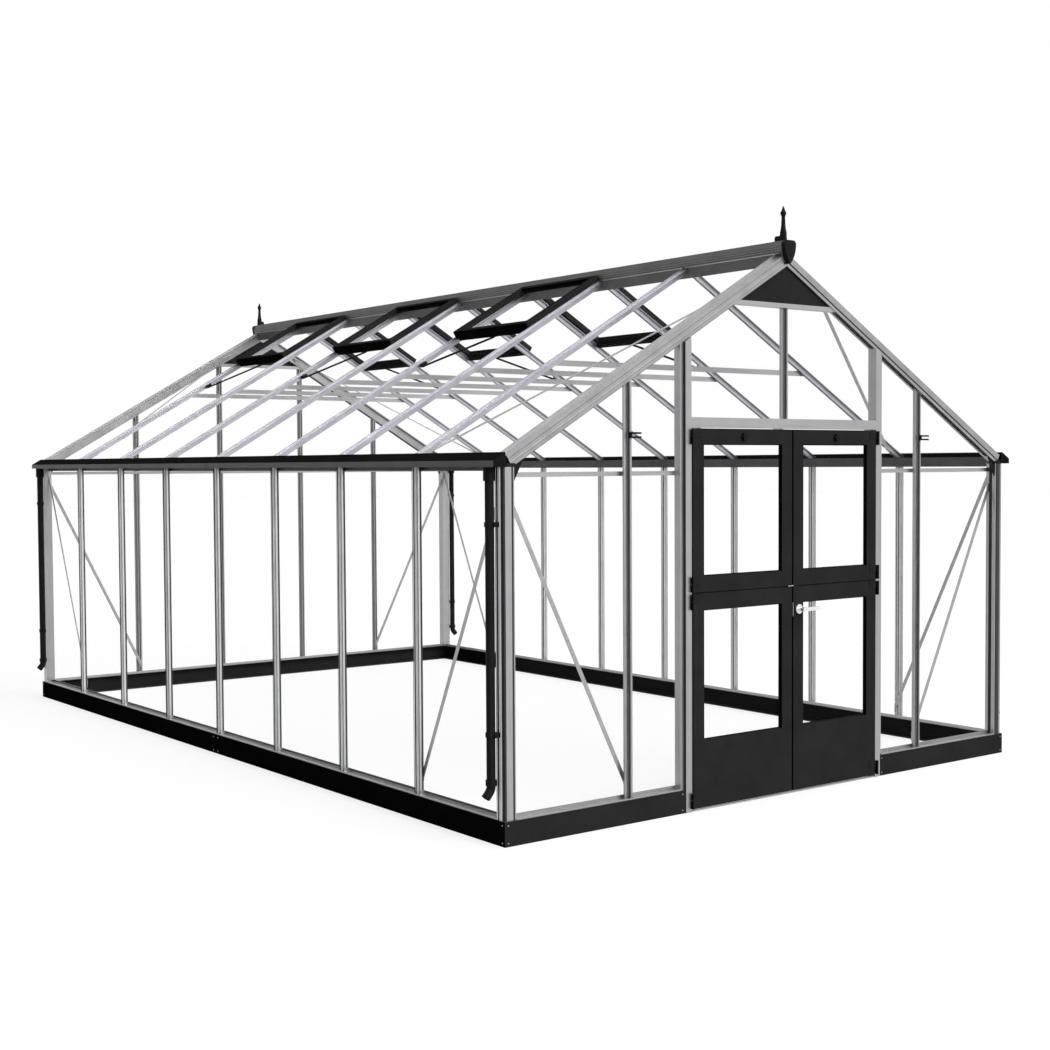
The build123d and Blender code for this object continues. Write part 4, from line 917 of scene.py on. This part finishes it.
def seen_ray(tree, strength):
    """A strength for camera, glossy and transmission rays, and none for the rest."""
    path = tree.nodes.new("ShaderNodeLightPath")
    total = path.outputs["Is Camera Ray"]
    for kind in ("Is Glossy Ray", "Is Transmission Ray"):
        add = tree.nodes.new("ShaderNodeMath")
        add.operation = "ADD"
        add.use_clamp = True
        tree.links.new(total, add.inputs[0])
        tree.links.new(path.outputs[kind], add.inputs[1])
        total = add.outputs["Value"]
    scale = tree.nodes.new("ShaderNodeMath")
    scale.operation = "MULTIPLY"
    scale.inputs[1].default_value = strength
    tree.links.new(total, scale.inputs[0])
    return scale.outputs["Value"]


def shadow_floor():
    """Pale floor whose lit part reads as white to the camera."""
    material, shader = shader_of("pale_floor")
    shader.inputs["Base Color"].default_value = FLOOR_TONE
    shader.inputs["Roughness"].default_value = FLOOR_ROUGHNESS
    shader.inputs["Specular IOR Level"].default_value = 0.0
    shader.inputs["Emission Color"].default_value = WHITE
    lift = seen_ray(material.node_tree, FLOOR_LIFT)
    material.node_tree.links.new(lift, shader.inputs["Emission Strength"])
    return material


def white_surround():
    """Surround that is white to the camera and lights the part from its front right."""
    world = bpy.data.worlds.new("studio")
    bpy.context.scene.world = world
    world.use_nodes = True
    tree = world.node_tree
    surround = tree.nodes["Background"]
    surround.inputs["Color"].default_value = WHITE
    towards = tree.nodes.new("ShaderNodeVectorMath")
    towards.operation = "DOT_PRODUCT"
    towards.inputs[1].default_value = WORLD_FROM
    tree.links.new(tree.nodes.new("ShaderNodeTexCoord").outputs["Generated"], towards.inputs[0])
    graded = tree.nodes.new("ShaderNodeMapRange")
    graded.inputs["From Min"].default_value = WORLD_RANGE[0]
    graded.inputs["From Max"].default_value = WORLD_RANGE[1]
    graded.inputs["To Min"].default_value = WORLD_LOW
    graded.inputs["To Max"].default_value = WORLD_HIGH
    tree.links.new(towards.outputs["Value"], graded.inputs["Value"])
    brightest = tree.nodes.new("ShaderNodeMath")
    brightest.operation = "MAXIMUM"
    tree.links.new(graded.outputs["Result"], brightest.inputs[0])
    tree.links.new(seen_ray(tree, 1.0), brightest.inputs[1])
    tree.links.new(brightest.outputs["Value"], surround.inputs["Strength"])


def lamp(name, strength, towards, spread_angle):
    """A broad far lamp that shines towards a direction."""
    data = bpy.data.lights.new(name, "SUN")
    data.energy = strength
    data.angle = radians(spread_angle)
    thing = bpy.data.objects.new(name, data)
    thing.rotation_euler = Vector(towards).to_track_quat("-Z", "Y").to_euler()
    bpy.context.scene.collection.objects.link(thing)


floor_mesh = bpy.data.meshes.new("floor")
floor_points = [(x * FLOOR_HALF, y * FLOOR_HALF, -FLOOR_DROP) for x, y in FLOOR_CORNERS]
floor_mesh.from_pydata(floor_points, [], [(0, 1, 2, 3)])
floor_mesh.materials.append(shadow_floor())
floor = bpy.data.objects.new("floor", floor_mesh)
bpy.context.scene.collection.objects.link(floor)
white_surround()
for values in LAMPS:
    lamp(*values)

# Camera of the photograph

CAMERA_PLACE = (-5.93433, -8.50266, 1.73289)
CAMERA_YAW = radians(37.1702)
CAMERA_PITCH = radians(-2.2538)
CAMERA_ROLL = radians(-0.33)
CAMERA_LENS = 52.815
SENSOR_WIDTH = 36.0
CLIP_END = 200.0


def photo_camera():
    """Camera that sees the part as the photograph does."""
    forward = Vector((
        sin(CAMERA_YAW) * cos(CAMERA_PITCH), cos(CAMERA_YAW) * cos(CAMERA_PITCH), sin(CAMERA_PITCH)
    ))
    level_right = Vector((cos(CAMERA_YAW), -sin(CAMERA_YAW), 0.0))
    level_up = level_right.cross(forward)
    right = level_right * cos(CAMERA_ROLL) + level_up * sin(CAMERA_ROLL)
    up = level_up * cos(CAMERA_ROLL) - level_right * sin(CAMERA_ROLL)
    turn = Matrix((right, up, -forward)).transposed().to_4x4()
    lens = bpy.data.cameras.new("camera")
    lens.lens = CAMERA_LENS
    lens.sensor_width = SENSOR_WIDTH
    lens.sensor_fit = "HORIZONTAL"
    lens.clip_end = CLIP_END
    camera = bpy.data.objects.new("camera", lens)
    camera.matrix_world = Matrix.Translation(CAMERA_PLACE) @ turn
    bpy.context.scene.collection.objects.link(camera)
    return camera


bpy.context.scene.camera = photo_camera()
bpy.context.scene.view_settings.view_transform = "Standard"
